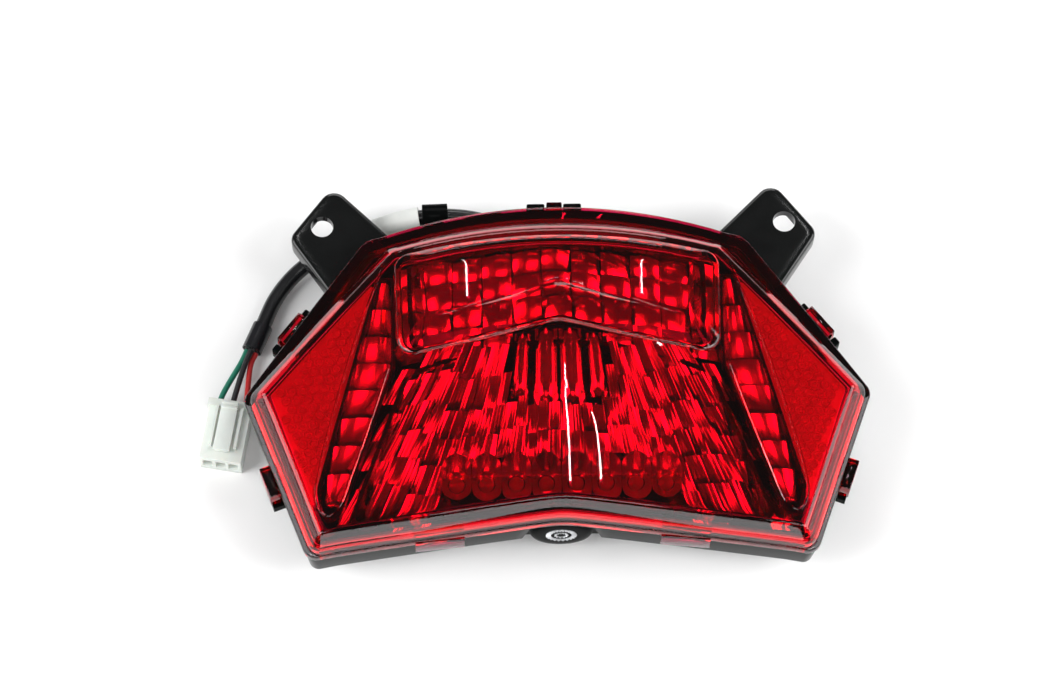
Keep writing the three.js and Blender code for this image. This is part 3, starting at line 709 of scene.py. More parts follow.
sleeve_path = part_way(route, *(length_to_x(x) for x in SLEEVE_ENDS_X))
sleeve = tube("sleeve", sleeve_path, sleeve_white, SLEEVE_R, 40, bore=BORE_R)
own(sleeve, "sleeve", "white_sleeve")
boot_path = part_way(route, route_length - BOOT_LENGTH, route_length - 0.02)
boot = tube("boot", boot_path, boot_black, BOOT_R, 32, bore=BORE_R)
own(boot, "sheath", "sheath_boot")

sheath_way = (route[-1] - route[-2]).normalized()
across = Vector((0, 0, 1)).cross(sheath_way).normalized()
for i, colour in enumerate(WIRE_COLOURS):
    aside = across * (i - 1) * WIRE_PITCH
    start = route[-1] + sheath_way * GAP + aside + Vector((0, 0, WIRE_LIFTS[i]))
    entry = plug_point(WAYS_X[i], 2, WAY_Z)
    end = plug_point(WAYS_X[i], -4, WAY_Z)
    path = spline([start, start + sheath_way * 4, entry, end], 12)
    wire = tube(f"lead_wire_{colour}", path, wire_paint[colour], WIRE_R, 16)
    own(wire, f"wire_{colour}", f"wire_{colour}")

plug = own(copy_of("connector_housing", "plug", nylon_white, 0.35), "plug")
latch = own(copy_of("connector_latch", "plug_latch", nylon_white, 0.2), "plug", body="latch")
terminals = [paint(f"terminal_{i}", tin) for i in range(1, 4)]

# ---------------- lens

# how far towards the middle the rings of a dome lie
FACE_SHARES = (0.05, 0.12, 0.22, 0.35, 0.5, 0.68, 0.86)
PLATEAU_SHARES = (0.08, 0.2, 0.4, 0.6, 0.85)
PLATEAU_RISE = 0.8
RIDGE_R = 0.42
TAB_Z = (27.2, 34.6)
# the raised line round each side strip
RIDGE = [(53.6, 27), (61.5, 5), (72.6, -36), (73.6, -46), (71, -51.5), (67.4, -50)]
RIDGE += [(62.5, -38), (56.6, -21), (51.8, -6)]


def outer_lens():
    """The red cover with its pod, tabs and ridges, hollow from behind."""
    face = crowned(FACE_Z)
    crown = ring(CROWN, 4, face, 1.3)
    body = loft(
        "lens",
        lens_red,
        ring(FLANGE, 9, level(LEDGE_Z + 2.2)),
        ring(FLANGE, SKIRT_IN + GAP, level(LEDGE_Z + 2.2)),
        ring(FLANGE, SKIRT_IN + GAP, level(SEAM_Z + GAP)),
        ring(FLANGE, 0, level(SEAM_Z + GAP), 0.3),
        ring(FLANGE, 0, level(FLANGE_Z), 1.0),
        ring(CROWN, 0, level(FLANGE_Z + 0.2), 0.5),
        ring(CROWN, 0.2, level(BEVEL_Z), 0.9),
        crown,
        *dome(crown, face, 0, FACE_SHARES),
    )
    inner_face = crowned(FACE_Z - WALL)
    inner = ring(CROWN, 5.8, inner_face, 1.0)
    inside = loft(
        "inside",
        lens_red,
        ring(FLANGE, 5.6, level(LEDGE_Z)),
        ring(FLANGE, 5.6, level(SEAM_Z), 0.6),
        ring(CROWN, 2.9, level(FLANGE_Z - 1.4), 0.6),
        ring(CROWN, 3, level(BEVEL_Z - 1.4), 0.6),
        inner,
        *dome(inner, inner_face, 0, FACE_SHARES),
    )
    plateau = ring(PLATEAU, 0, level(POD_Z), 1.6)
    pod = loft(
        "pod",
        lens_red,
        ring(POD, 0, level(FACE_Z - 2)),
        ring(POD, 0, level(FACE_Z + 2.3), 1.0),
        plateau,
        *dome(plateau, level(POD_Z), PLATEAU_RISE, PLATEAU_SHARES),
    )
    hollow_top = ring(PLATEAU, 1.4, level(POD_Z - WALL), 1.2)
    hollow = loft(
        "hollow",
        lens_red,
        ring(POD, 2.2, level(FACE_Z - WALL - 3)),
        ring(POD, 2.2, level(FACE_Z - 0.4), 0.8),
        hollow_top,
        *dome(hollow_top, level(POD_Z - WALL), PLATEAU_RISE, PLATEAU_SHARES),
    )
    tabs = []
    for clip in CLIPS:
        ends = (-clip.half, clip.half)
        out = (-0.15, clip.proud)
        tabs.append(edge_block("tab", clip, ends, out, TAB_Z, lens_red, 0.35))
    ridges = []
    for side in (1, -1):
        path = [Vector((side * x, y, face(x, y) - 0.12)) for x, y in RIDGE]
        ridges.append(tube("ridge", spline(path, 8), lens_red, RIDGE_R, 10))
    combine("UNION", body, pod, *tabs, *ridges)
    return combine("DIFFERENCE", body, inside, hollow, sharp=28)


own(outer_lens(), "lens", "outer_lens")

# ---------------- housing

EAR_Z, EAR_THICK, EAR_SKIRT, EAR_HOLE_R = 24.5, 3, 6.5, 3.5
EAR_HOLE = (72.3, 49.4)
EAR_CORNERS = [(68.4, 24.4, 1), (82.8, 45.7, 4), (69.1, 63.92, 4.5)]
EAR_CORNERS += [(51.8, 46.6, 2), (51.5, 39.8, 1)]
BOARD_SCREWS = [(-28, 10.4), (28, 10.4), (-27, -33.6), (27, -33.6)]
REFLECTOR_SCREWS = [(-36, 26.8), (36, 26.8), (-55.4, -46.6), (55.4, -46.6)]
CLIP_SCREW = (-37, 36)
PILOT_R = 1.9
VENT_Z, VENT_R, VENT_FACE_Y, VENT_DEPTH = 17, 9.6, -51.6, 3
BRAKE_BOARD_Z, TAIL_BOARD_Z = 22, 21.4
# the share of the sweep that the wings and the wall behind them follow
WING_SWEEP, WALL_SWEEP = 0.9, 0.95
WALL_FOOT_Z = 20.5
VENT_ARCH, VENT_ARCH_HALF = 7.5, 12
SHELF_Z, CATCH_Z = (23.9, 26.8), (26.5, 31.9)
# the inner end of what is added to the outside of the wall
ROOTED = -2.6


def wall_foot(x, y):
    """The wall's lower edge, raised in the middle of the bottom edge over the vent."""
    arch = VENT_ARCH if y < -40 and abs(x) < VENT_ARCH_HALF else 0
    return level(WALL_FOOT_Z)(x, y) + arch


def ear(side):
    """A flat plate with a skirt folded down all round it."""
    plate = loft(
        "ear",
        painted_shade_black,
        ring(EAR_CORNERS, 0.2, flat(EAR_Z - EAR_SKIRT)),
        ring(EAR_CORNERS, 0, flat(EAR_Z - EAR_SKIRT + 0.3)),
        ring(EAR_CORNERS, 0, flat(EAR_Z), 1.5),
        ring(EAR_CORNERS, 3.6, flat(EAR_Z)),
    )
    hollow = loft(
        "ear_hollow",
        painted_shade_black,
        ring(EAR_CORNERS, 2, flat(EAR_Z - EAR_SKIRT - 1)),
        ring(EAR_CORNERS, 2, flat(EAR_Z - EAR_THICK)),
    )
    combine("DIFFERENCE", plate, hollow)
    return plate if side > 0 else mirror(plate)


def post(x, y, radius, low, high, sides=28):
    """An upright cylinder."""
    return rod("post", radius, (x, y, low), (x, y, high), painted_shade_black, sides)


def bar(radius, y0, y1, x, z):
    """A cylinder along Y."""
    return rod("bar", radius, (x, y0, z), (x, y1, z), painted_shade_black, 40)


def pad_foot(x):
    """The lower end of a reflector screw's pad."""
    return WING_Z - 2.2 - WING_SWEEP * drop(x)


def rear_housing():
    """The black box with its wings and wall, the ears, catches, screw pillars and openings."""
    outside = loft(
        "housing",
        painted_shade_black,
        ring(BACK_BOX, 2.6, flat(0)),
        ring(BACK_BOX, 1.6, flat(1.4), 0.6),
        ring(BACK_BOX, 0, level(WING_Z, WING_SWEEP), 0.8),
        ring(FLANGE, 6, level(WING_Z + 1.5, WALL_SWEEP), 0.8),
        ring(FLANGE, 1.8, wall_foot, 0.8),
        ring(FLANGE, 0.5, level(SEAM_Z)),
    )
    cavity = loft(
        "cavity",
        painted_shade_black,
        ring(BACK_BOX, 4.8, flat(WALL)),
        ring(BACK_BOX, WALL, level(WING_Z + WALL, WING_SWEEP)),
        ring(FLANGE, 8.4, level(WING_Z + 1.8 + WALL, WALL_SWEEP)),
        ring(FLANGE, 7, level(LEDGE_Z - 1.6)),
        ring(FLANGE, 6, level(LEDGE_Z)),
        ring(FLANGE, SKIRT_IN, level(LEDGE_Z)),
        ring(FLANGE, SKIRT_IN, level(SEAM_Z + 2)),
    )
    additions = [ear(1), ear(-1), post(*CLIP_SCREW, 4.4, 15.3, 20)]
    for clip in CLIPS:
        if clip.proud > 1:
            reach = clip.half + 1
            out = (ROOTED, clip.proud - 0.5)
            shelf = edge_block("shelf", clip, (-reach, reach), out, SHELF_Z, painted_shade_black)
            additions.append(shelf)
        for side in (-1, 1) if clip.catch else ():
            ends = sorted(side * (clip.half + 0.5 + far) for far in (0, clip.catch))
            catch = edge_block("catch", clip, ends, (ROOTED, 3), CATCH_Z, painted_shade_black, 0.5)
            additions.append(catch)
    for x, y in REFLECTOR_SCREWS:
        additions.append(post(x, y, 4.4, pad_foot(x), WING_Z + 1 - WING_SWEEP * drop(x)))
    combine("UNION", outside, *additions)
    seat = bar(VENT_R + GAP, -64, VENT_FACE_Y + VENT_DEPTH + GAP, 0, VENT_Z)
    combine("DIFFERENCE", outside, seat)
    combine("UNION", outside, bar(7.9, VENT_FACE_Y + 2, -44, 0, VENT_Z))
    combine("DIFFERENCE", outside, cavity)
    pillars = []
    holes = [bar(4.5, 15, 29, -8, CABLE_Z), bar(2.6, -51, -40, 0, VENT_Z - 3)]
    for x, y in BOARD_SCREWS:
        foot = BRAKE_BOARD_Z if y > 0 else TAIL_BOARD_Z
        pillars.append(post(x, y, 3.2, 1.6, foot - GAP))
        holes.append(post(x, y, PILOT_R, foot - 9, foot + 1))
    pillars.append(post(*CLIP_SCREW, 3.4, 17, 24.2))
    holes.append(post(*CLIP_SCREW, PILOT_R, 10, 23))
    for x, y in REFLECTOR_SCREWS:
        holes.append(post(x, y, PILOT_R, 0, 26))
    for side in (-1, 1):
        holes.append(post(side * EAR_HOLE[0], EAR_HOLE[1], EAR_HOLE_R, 10, 30, 48))
    combine("UNION", outside, *pillars)
    combine("DIFFERENCE", outside, *holes, sharp=30)
    # the ear faces get the painted-highlight copy of the black
    outside.data.materials.append(painted_highlight_black)
    ear_edge = polygon(EAR_CORNERS, -0.2)
    for face in outside.data.polygons:
        x, y, z = face.center / MM
        on_ear = z > EAR_Z - EAR_SKIRT - 0.1 and inside_of(ear_edge, complex(abs(x), y))
        face.material_index = 1 if on_ear else 0
    return outside


own(rear_housing(), "housing", "rear_housing")

# ---------------- chromed facets

# smooth over every edge but an open one
ALL_SMOOTH = 179


class Facets:
    """Collects curved facets into one mesh, each with a thin gap round it, dark where the
    painted-shade chrome below shows through.
    """

    def __init__(self, name, grid):
        self.name, self.grid = name, grid
        self.points, self.faces = [], []

    def add(self, corners, height, swell, gap=0.12):
        """A facet over four plan corners; swell(u, v) is added to the height, u and v -1 to 1."""
        first = len(self.points)
        n = self.grid
        middle = sum(corners) / 4
        a, b, c, d = (p + (middle - p) / abs(middle - p) * gap for p in corners)
        for j in range(n + 1):
            v = j / n
            for i in range(n + 1):
                u = i / n
                p = (a * (1 - u) + b * u) * (1 - v) + (d * (1 - u) + c * u) * v
                z = height(p.real, p.imag) + swell(2 * u - 1, 2 * v - 1)
                self.points.append((p.real, p.imag, z))
        for j in range(n):
            for i in range(n):
                low = first + j * (n + 1) + i
                self.faces.append((low, low + 1, low + n + 2, low + n + 1))

    def done(self):
        own(make(self.name, self.points, self.faces, chrome, ALL_SMOOTH), "reflector")


def brick(rise, tilt, lean, dish, flute):
    """Swelling of a facet: rounded across, dished along, tilted along and leaning across."""

    def swell(u, v):
        flutes = flute * math.cos(8 * u)
        return rise * (1 - u * u) + tilt * v + lean * u + dish * (v * v - 1) + flutes

    return swell


rng = random.Random(11)
# the point that the fan's columns run to, their pitch, and how many there are on each side
FAN_CENTRE = 59
FAN_PITCH = math.radians(2.45)
FAN_COLUMNS = 17
FAN_ROWS = [-52, -41, -32.5, -24.5, -16, -6.5, 3.5, 12]
# the fan rises from its foot towards the pod, and follows a share of the sweep
FAN_FOOT_Y, FAN_LENGTH, FAN_Z, FAN_RISE, FAN_SWEEP = -52, 56, 29.2, 8.6, 0.62
# the places in the fan that the petals and the cups take
PETALS_HALF, PETALS_FOOT_Y = 15.5, -15
CUPS_HALF, CUPS_TOP_Y = 36.5, -33
FAN = {"half": [(64.6, -54.2, 3), (46.4, -4.6, 3)], "bow": 9, "arch": 6.8}
BRAKE = {"half": [(45.4, 2, 4), (46, 33, 4)], "bow": 4.4, "arch": 8.5}
LED_PITCH = 9
TAIL_LED_Y = -39.5
BRAKE_LED_X = (-35, -21, -7, 7, 21, 35)


def fan_height(x, y):
    share = min(1.0, max(0.0, (y - FAN_FOOT_Y) / FAN_LENGTH))
    return FAN_Z + FAN_RISE * share**1.3 - FAN_SWEEP * drop(x)


def four(left, right, low, high):
    """Pairs for the corners of a facet, counter-clockwise from the lower left."""
    return (left, low), (right, low), (right, high), (left, high)


def ray(angle, y):
    """Plan point of a ray of the fan at a height y."""
    return complex(math.tan(angle) * (FAN_CENTRE - y), y)


def in_fan(p):
    """Whether a plan point is in the part of the fan that its facets fill."""
    x, y = abs(p.real), p.imag
    slanted_side = 66 - (y + 55) * 17 / 55
    pod_edge = -1.6 + 9.3 * (1 - 1.2 * x / 49)
    bottom_edge = -56.6 + 7.2 * (1 - x / 72)
    if x >= slanted_side or not bottom_edge < y < pod_edge:
        return False
    among_petals = x < PETALS_HALF and y > PETALS_FOOT_Y
    among_cups = x < CUPS_HALF and y < CUPS_TOP_Y
    return not (among_petals or among_cups)


def fan_facets():
    """Columns of long facets that spread from the pod, staggered except in the middle."""
    fan = Facets("fan_facets", 8)
    for column in range(-FAN_COLUMNS, FAN_COLUMNS):
        left, right = column * FAN_PITCH, (column + 1) * FAN_PITCH
        stagger = rng.uniform(-2.4, 2.4) if abs(column + 0.5) > 3 else rng.uniform(-0.6, 0.6)
        for low, high in zip(FAN_ROWS, FAN_ROWS[1:]):
            y0, y1 = low + stagger, high + stagger
            corners = [ray(angle, y) for angle, y in four(left, right, y0, y1)]
            if not in_fan(sum(corners) / 4):
                continue
            wide = abs(corners[1] - corners[0])
            tilt = rng.uniform(0.1, 0.55) * (y1 - y0) / 2
            lean = rng.uniform(-0.35, 0.35) * wide / 2
            dish = rng.uniform(-0.5, 0.7)
            fan.add(corners, fan_height, brick(0.1 * wide, tilt, lean, dish, 0.035 * wide))
    fan.done()


PETAL_Z = 35.5
# the middle, half width and ends of each petal
PETALS = [(-12.2, 2.6, -13, 7), (-4.1, 3.75, -15.5, 8.5)]
PETALS += [(4.1, 3.75, -15.5, 8.5), (12.2, 2.6, -13, 7)]


def petal_swell(u, v):
    """A long rounded body, tilted up towards the pod, with a fine hammered surface."""
    body = max(0.0, 1 - u * u - (v * 0.98) ** 4)
    hammered = 0.07 * math.cos(7 * u) * math.cos(25 * v)
    return 2.6 * math.sqrt(body) - 1.4 + 1.6 * v + hammered


def petals():
    """Four long bulges under the pod, a little narrower and closer together at their tops."""
    group = Facets("petals", 14)
    for x, half_width, y0, y1 in PETALS:
        top_x, top_half = x * 0.88, half_width * 0.9
        corners = [
            complex(x - half_width, y0),
            complex(x + half_width, y0),
            complex(top_x + top_half, y1),
            complex(top_x - top_half, y1),
        ]
        group.add(corners, level(PETAL_Z), petal_swell)
    group.done()


CUP_HOLE_R, CUP_HALF_WIDTH, CUP_TOP, CUP_DEPTH = 2.66, 4.45, 8.2, 4.4
CUP_AROUND, CUP_RINGS = 32, 8


def cup_point(middle, a, climb):
    """A point of a cup at an angle round its LED, climbing from 0 at the hole to 1 at the rim."""
    side, up = math.cos(a), math.sin(a)
    squarish = (abs(side) ** 4 + abs(up) ** 4) ** -0.25
    reach = CUP_TOP if up > 0 else 9.5 - 7.2 * abs(middle) / 72
    rx = CUP_HOLE_R + (CUP_HALF_WIDTH * squarish - CUP_HOLE_R) * climb
    rx = min(rx, CUP_HALF_WIDTH / max(abs(side), 1e-3)) if climb else CUP_HOLE_R
    ry = CUP_HOLE_R + (reach - CUP_HOLE_R) * climb
    back_rise = 1.2 if up > 0 else 0
    z = FAN_Z + CUP_DEPTH * climb**1.5 - FAN_SWEEP * drop(middle) + back_rise * climb
    return middle + rx * side, TAIL_LED_Y + ry * up, z


def bowls():
    """Arched cups round the tail LEDs, longer towards the middle of the lamp."""
    points, faces = [], []
    for k in range(-4, 4):
        first = len(points)
        for j in range(CUP_RINGS + 1):
            share = 0.6 + 0.4 * j / CUP_RINGS
            climb = (share - 0.6) / 0.4
            for i in range(CUP_AROUND):
                a = 2 * math.pi * i / CUP_AROUND
                points.append(cup_point((k + 0.5) * LED_PITCH, a, climb))
        for j in range(CUP_RINGS):
            low = first + j * CUP_AROUND
            faces += band(low, low + CUP_AROUND, CUP_AROUND)
    own(make("bowls", points, faces, chrome, ALL_SMOOTH), "reflector")


CELL_PITCH, CELL_Z, CELL_GAP = 9.1, 33.8, 0.2
CELL_ROWS = [-8, 0, 8, 16, 24, 31.6, 39]


def row_bend(x):
    """How far the rows of the brake cells rise towards the middle."""
    return 4.5 * (1 - abs(x) / 46)


def pillow(lean, tilt):
    """Swelling of a brake cell, rounded both ways."""

    def swell(u, v):
        rounded = math.sqrt(max(0.0, 1 - 0.4 * u * u - 0.35 * v * v)) * 2.2
        return rounded - 2 + lean * u + tilt * v + 0.04 * math.cos(9 * u)

    return swell


def brake_cells():
    """Rows of rounded cells that fill the pod."""
    cells = Facets("brake_cells", 8)
    edge = symmetric(POD, 1.2)
    for column in range(-6, 6):
        for low, high in zip(CELL_ROWS, CELL_ROWS[1:]):
            x0, x1 = (column + 0.5) * CELL_PITCH, (column + 1.5) * CELL_PITCH
            corners = [complex(x, y + row_bend(x)) for x, y in four(x0, x1, low, high)]
            middle = sum(corners) / 4
            core = [middle + (corner - middle) * 0.4 for corner in corners]
            if not all(inside_of(edge, p) for p in (middle, *core)):
                continue
            lean = rng.uniform(-0.3, 0.3) * CELL_PITCH / 2
            tilt = rng.uniform(0.1, 0.5) * (high - low) / 2
            cells.add(corners, level(CELL_Z), pillow(lean, tilt), CELL_GAP)
    cells.done()


STRIP_TOP_Y, STRIP_END_Y = 25.0, -47
STRIP_PITCH, STRIP_Z = 8.8, 36
# the edges of the right strip of cells, from the top down
STRIP_OUTER = [(53.6, 26), (59.8, 5), (63.6, -8.9), (67.8, -24.7), (70.8, -38.6), (71, -47)]
STRIP_INNER = [(51, 26), (50.6, 5), (51, -6), (56.2, -21), (62, -38), (66.4, -47)]


def x_at(points, y):
    """Where a line through points, from the top down, has a height y."""
    for (x0, y0), (x1, y1) in zip(points, points[1:]):
        if y1 <= y <= y0:
            return x0 + (x1 - x0) * (y0 - y) / (y0 - y1)
    return points[-1][0] if y < points[-1][1] else points[0][0]


def side_cells(side):
    """A strip of cells between the fan and a reflex panel, one below the other."""
    cells = Facets(f"side_cells_{hand(side)}", 8)
    y = STRIP_TOP_Y
    while y > STRIP_END_Y + 1:
        low = max(y - STRIP_PITCH, STRIP_END_Y)
        ends = four(STRIP_INNER, STRIP_OUTER, low, y)
        corners = [complex(x_at(line, end_y), end_y) for line, end_y in ends]
        lean = rng.uniform(0.1, 0.28) * abs(corners[1] - corners[0]) / 2
        tilt = rng.uniform(0.33, 0.5) * (y - low) / 2
        corners = [complex(side * c.real, c.imag) for c in corners]
        if side < 0:
            corners = [corners[1], corners[0], corners[3], corners[2]]
        swell = brick(0.75, tilt, side * lean, -0.35, 0.06)
        cells.add(corners, level(STRIP_Z), swell, CELL_GAP)
        y = low
    cells.done()


TRAY_SWEEP, TRAY_RIM_Z = 0.6, 36.8


def tray(name, edge, floor, node):
    """A shallow tray under facets, its rim low enough to hide below them, in near-black chrome as
    painted shade for the gaps between the facets.
    """
    body = loft(
        name,
        painted_shade_chrome,
        ring(edge, 3, level(floor - 1.2, TRAY_SWEEP)),
        ring(edge, 0.8, level(floor + 3, TRAY_SWEEP), 0.8),
        ring(edge, 0, level(TRAY_RIM_Z, TRAY_SWEEP)),
    )
    hollow = loft(
        "hollow",
        painted_shade_chrome,
        ring(edge, 4.2, level(floor, TRAY_SWEEP)),
        ring(edge, 2, level(floor + 3.6, TRAY_SWEEP), 0.8),
        ring(edge, 1.2, level(TRAY_RIM_Z + 1, TRAY_SWEEP)),
    )
    combine("DIFFERENCE", body, hollow)
    own(body, "reflector", node)


tray("fan_tray", FAN, 27, "fan_reflector")
tray("brake_tray", BRAKE, 29, "brake_reflector")
fan_facets()
petals()
bowls()
brake_cells()
for side in (1, -1):
    side_cells(side)

# ---------------- side reflex panels

REFLEX = [(55.2, 27, 1), (75, -49.5, 1.2), (88, -9, 2)]
REFLEX_TOP = 38.9
REFLEX_PITCH = 3.4
# radius and height of the rings of a reflex bump
BUMP_RINGS = ((1.66, 0.02), (1.3, 0.55), (0.9, 0.15))
BUMP_SIDES = 12


def add_bump(points, faces, x, y):
    """A small round bump with a raised rim and a point in its middle."""
    first = len(points)
    base = REFLEX_TOP - drop(x)
    for r, z in BUMP_RINGS:
        for k in range(BUMP_SIDES):
            a = 2 * math.pi * k / BUMP_SIDES
            points.append((x + r * math.cos(a), y + r * math.sin(a), base + z))
    points.append((x, y, base + 0.6))
    tip = len(points) - 1
    inmost = tip - BUMP_SIDES
    for low in range(first, inmost, BUMP_SIDES):
        faces += band(low, low + BUMP_SIDES, BUMP_SIDES)
    for k in range(BUMP_SIDES):
        faces.append((inmost + k, inmost + (k + 1) % BUMP_SIDES, tip))


def reflex_bumps():
    """Rows of bumps over the right panel, every other row moved by half a pitch."""
    inner = polygon(REFLEX, 1.6)
    points, faces = [], []
    row = 0
    y = -44.0
    while y < 26:
        x = 54 + (REFLEX_PITCH / 2 if row % 2 else 0)
        while x < 90:
            if inside_of(inner, complex(x, y)):
                add_bump(points, faces, x, y)
            x += REFLEX_PITCH
        y += REFLEX_PITCH * math.sqrt(3) / 2
        row += 1
    return points, faces


def reflex_panel(side):
    body = loft(
        f"reflex_{hand(side)}",
        reflex_red,
        ring(REFLEX, 0, level(36.4)),
        ring(REFLEX, 0, level(REFLEX_TOP - 0.3)),
        ring(REFLEX, 0.5, level(REFLEX_TOP)),
    )
    bumps = make(f"reflex_bumps_{hand(side)}", *reflex_bumps(), reflex_red, 25)
    if side < 0:
        mirror(body)
        mirror(bumps)
    own(body, "reflex", f"reflex_panel_{hand(side)}")
    own(bumps, "reflex")


for side in (1, -1):
    reflex_panel(side)

# ---------------- small parts

paint("lens_gasket", rubber_black)
# the side reflectors get the near-black painted-shade chrome too
for node in ("side_reflector_left", "side_reflector_right"):
    paint(node, painted_shade_chrome)
for node in ("brake_led_board", "tail_led_board"):
    paint(node, circuit_green)
for node in ("regulator_chip", "tail_resistor", "brake_resistor"):
    paint(node, chip_black)

BOARD_THICK = 1.6
LED_R, LED_FOOT_R, LED_SHOULDER = 2.5, 2.85, 5.1
BRAKE_LED_Y = 16
THREAD_R = 1.5


def leds():
    """Domed LEDs on both boards."""
    profile = [(0, 0), (LED_FOOT_R, 0), (LED_FOOT_R, 1), (LED_R, 1), (LED_R, LED_SHOULDER)]
    for a in (0.4, 0.8, 1.2):
        profile.append((LED_R * math.cos(a), LED_SHOULDER + LED_R * math.sin(a)))
    profile.append((0, LED_SHOULDER + LED_R))
    tail_led_x = [(i - 3.5) * LED_PITCH for i in range(8)]
    brake = ("brake", BRAKE_LED_X, BRAKE_LED_Y, BRAKE_BOARD_Z)
    tail = ("tail", tail_led_x, TAIL_LED_Y, TAIL_BOARD_Z)
    for group, row, y, board in (brake, tail):
        for i, x in enumerate(row):
            node = f"{group}_led_{i + 1}"
            lamp = turned(f"dome_{node}", profile, led_red, 32)
            move(lamp, shift(x, y, board + BOARD_THICK + GAP))
            own(lamp, "led", node)


def screw(node, x, y, z, length, flip=False):
    """A round-headed screw with a cross recess, its head at the bottom unless it is flipped."""
    profile = [(0, -1.6), (2.1, -1.6), (2.7, -1.3), (3, -0.7), (3, 0), (THREAD_R, 0)]
    profile += [(THREAD_R, length - 1.4), (0.3, length), (0, length)]
    body = turned(f"fine_{node}", profile, steel, 36)
    slots = [
        move(block("slot", (-1.6, -0.4, -2.5), (1.6, 0.4, -0.7), steel), turn("Z", angle))
        for angle in (45, 135)
    ]
    combine("DIFFERENCE", body, *slots)
    if flip:
        move(body, turn("X", 180))
    move(body, shift(x, y, z))
    own(body, "screw", node)


leds()
for i, (x, y) in enumerate(BOARD_SCREWS):
    board = BRAKE_BOARD_Z if y > 0 else TAIL_BOARD_Z
    screw(f"board_screw_{i + 1}", x, y, board + BOARD_THICK + GAP, 8, flip=True)
for i, (x, y) in enumerate(REFLECTOR_SCREWS):
    screw(f"reflector_screw_{i + 1}", x, y, pad_foot(x) - GAP, 10)
screw("clip_screw", *CLIP_SCREW, 13.1 - GAP, 9.5)

VENT_RING_THICK, TOOTH_DEPTH, RIDGE_DEPTH = 0.5, 0.32, 0.22


def toothed(name, inner, outer, teeth):
    """A flat metal ring about Z with a ridged edge and a face of small teeth."""
    points, faces = [], []
    count = teeth * 2
    for z, dent in ((0, TOOTH_DEPTH), (VENT_RING_THICK, 0)):
        for radius, ridge in ((inner, 0), (outer, RIDGE_DEPTH)):
            for i in range(count):
                a = 2 * math.pi * i / count
                r = radius - ridge * (i % 2)
                points.append((r * math.cos(a), r * math.sin(a), z + dent * (i % 2)))
    # round the ring's section: along its face, down its edge, back below it and up its hole
    corners = (0, count, 3 * count, 2 * count, 0)
    for low, high in zip(corners, corners[1:]):
        faces += band(low, high, count)
    return make(name, points, faces, vent_metal, 25)


def vent():
    """A domed cap, hollow from behind, with two metal rings in its face."""
    profile = [(0, 0), (5.6, 0), (7.6, 0.12), (8.9, 0.5), (9.5, 1.1), (VENT_R, 1.6)]
    profile += [(VENT_R, VENT_DEPTH), (8.3, VENT_DEPTH), (8.3, 1.6), (0, 1.6)]
    cap = turned("vent", profile, painted_shade_black, 72)
    move(cap, shift(0, VENT_FACE_Y, VENT_Z) @ turn("X", -90))
    own(cap, "seal", "vent_cap")
    for name, inner, outer, teeth in (("vent_knurl", 3.2, 4.8, 22), ("vent_ring", 1.4, 2.2, 11)):
        metal = toothed(name, inner, outer, teeth)
        move(metal, shift(0, VENT_FACE_Y - 0.35, VENT_Z + 0.6) @ turn("X", -90))
        own(metal, "seal")


vent()

RIB_PITCH = 2.2


def grommet():
    """A rubber outlet held in the wall by two collars, its neck ribbed and tapered."""
    profile = [(0, 15.9), (5.4, 15.9), (5.8, 16.4), (5.8, 17.6), (4.1, 17.6), (4.1, 22.9)]
    profile += [(6.1, 22.9), (6.4, 23.2), (6.4, 24.1), (6.1, 24.4), (4.7, 24.7), (4.5, 25.4)]
    y = 26.0
    while y < 36:
        rib, groove = 4.5 - (y - 25) * 0.1, 3.9 - (y - 25) * 0.07
        profile += [(rib, y), (rib, y + 1.1), (groove, y + 1.3), (groove, y + 1.9)]
        y += RIB_PITCH
    profile += [(3.3, 38), (0, 38)]
    body = turned("outlet", profile, rubber_black, 40)
    move(body, shift(CABLE_ROUTE[0][0], 0, CABLE_Z) @ turn("X", -90))
    own(body, "seal", "cable_grommet")


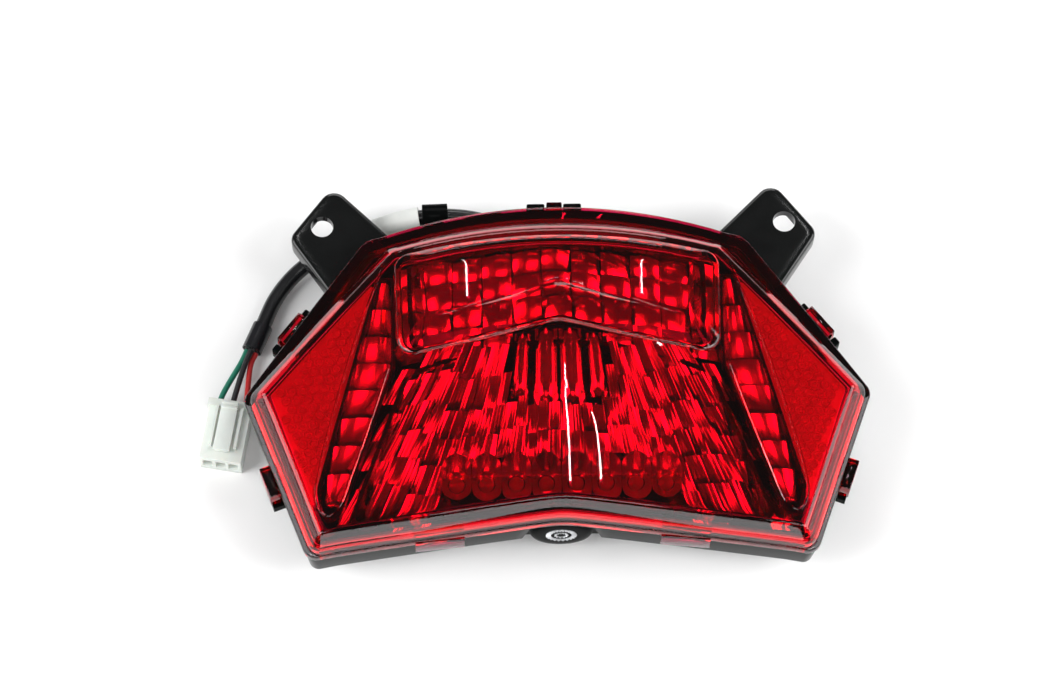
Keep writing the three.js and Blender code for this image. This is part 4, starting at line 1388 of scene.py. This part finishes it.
grommet()
own(copy_of("cable_clip", "clip", painted_shade_black, 0.3), "housing")
for node, colour in (("lead_brake", "red"), ("lead_tail", "green"), ("lead_ground", "black")):
    paint(node, wire_paint[colour])

# ---------------- stage and light

FLOOR = 3000
WORLD_STRENGTH = 0.09
TUBE_Z, TUBE_WIDTH = 1046, 4
# watts for each millimetre of a tube
TUBE_POWER = 0.0006

floor_corners = [(-FLOOR, -FLOOR, 0), (FLOOR, -FLOOR, 0), (FLOOR, FLOOR, 0), (-FLOOR, FLOOR, 0)]
floor = make("floor", floor_corners, [(0, 1, 2, 3)], floor_white)
floor.location.z = -0.0001

world = bpy.data.worlds.new("studio")
scene.world = world
world.use_nodes = True
background = world.node_tree.nodes["Background"]
background.inputs["Color"].default_value = (1, 1, 1, 1)
background.inputs["Strength"].default_value = WORLD_STRENGTH


def softbox(name, place, width, height, power, aim=(0, 0, 30)):
    """A rectangular area light turned towards a point."""
    data = bpy.data.lights.new(name, "AREA")
    data.shape = "RECTANGLE"
    data.size = width * MM
    data.size_y = height * MM
    data.energy = power
    lamp = bpy.data.objects.new(name, data)
    collection.objects.link(lamp)
    lamp.location = Vector(place) * MM
    lamp.rotation_mode = "QUATERNION"
    lamp.rotation_quaternion = (Vector(place) - Vector(aim)).to_track_quat("Z", "Y")


softbox("front", (0, -1200, 420), 900, 500, 5)
softbox("left", (-1250, -150, 620), 1150, 900, 14)
softbox("right", (1250, -150, 620), 1150, 900, 14)
softbox("back", (0, 1500, 900), 1000, 600, 7)
softbox("over_camera", (0, -700, 1600), 620, 420, 3.6)
softbox("over_left", (-1000, -380, 1250), 640, 640, 9)
softbox("over_right", (1000, -380, 1250), 640, 640, 9)
# thin tubes overhead that draw fine lines on the lens
for x, y, length in ((56, 330, 190), (133, 300, 120), (-230, 545, 170), (292, 545, 170)):
    softbox("tube", (x, y, TUBE_Z), TUBE_WIDTH, length, length * TUBE_POWER, aim=(x, y, 0))

scene.view_settings.view_transform = "Standard"
scene.view_settings.look = "None"
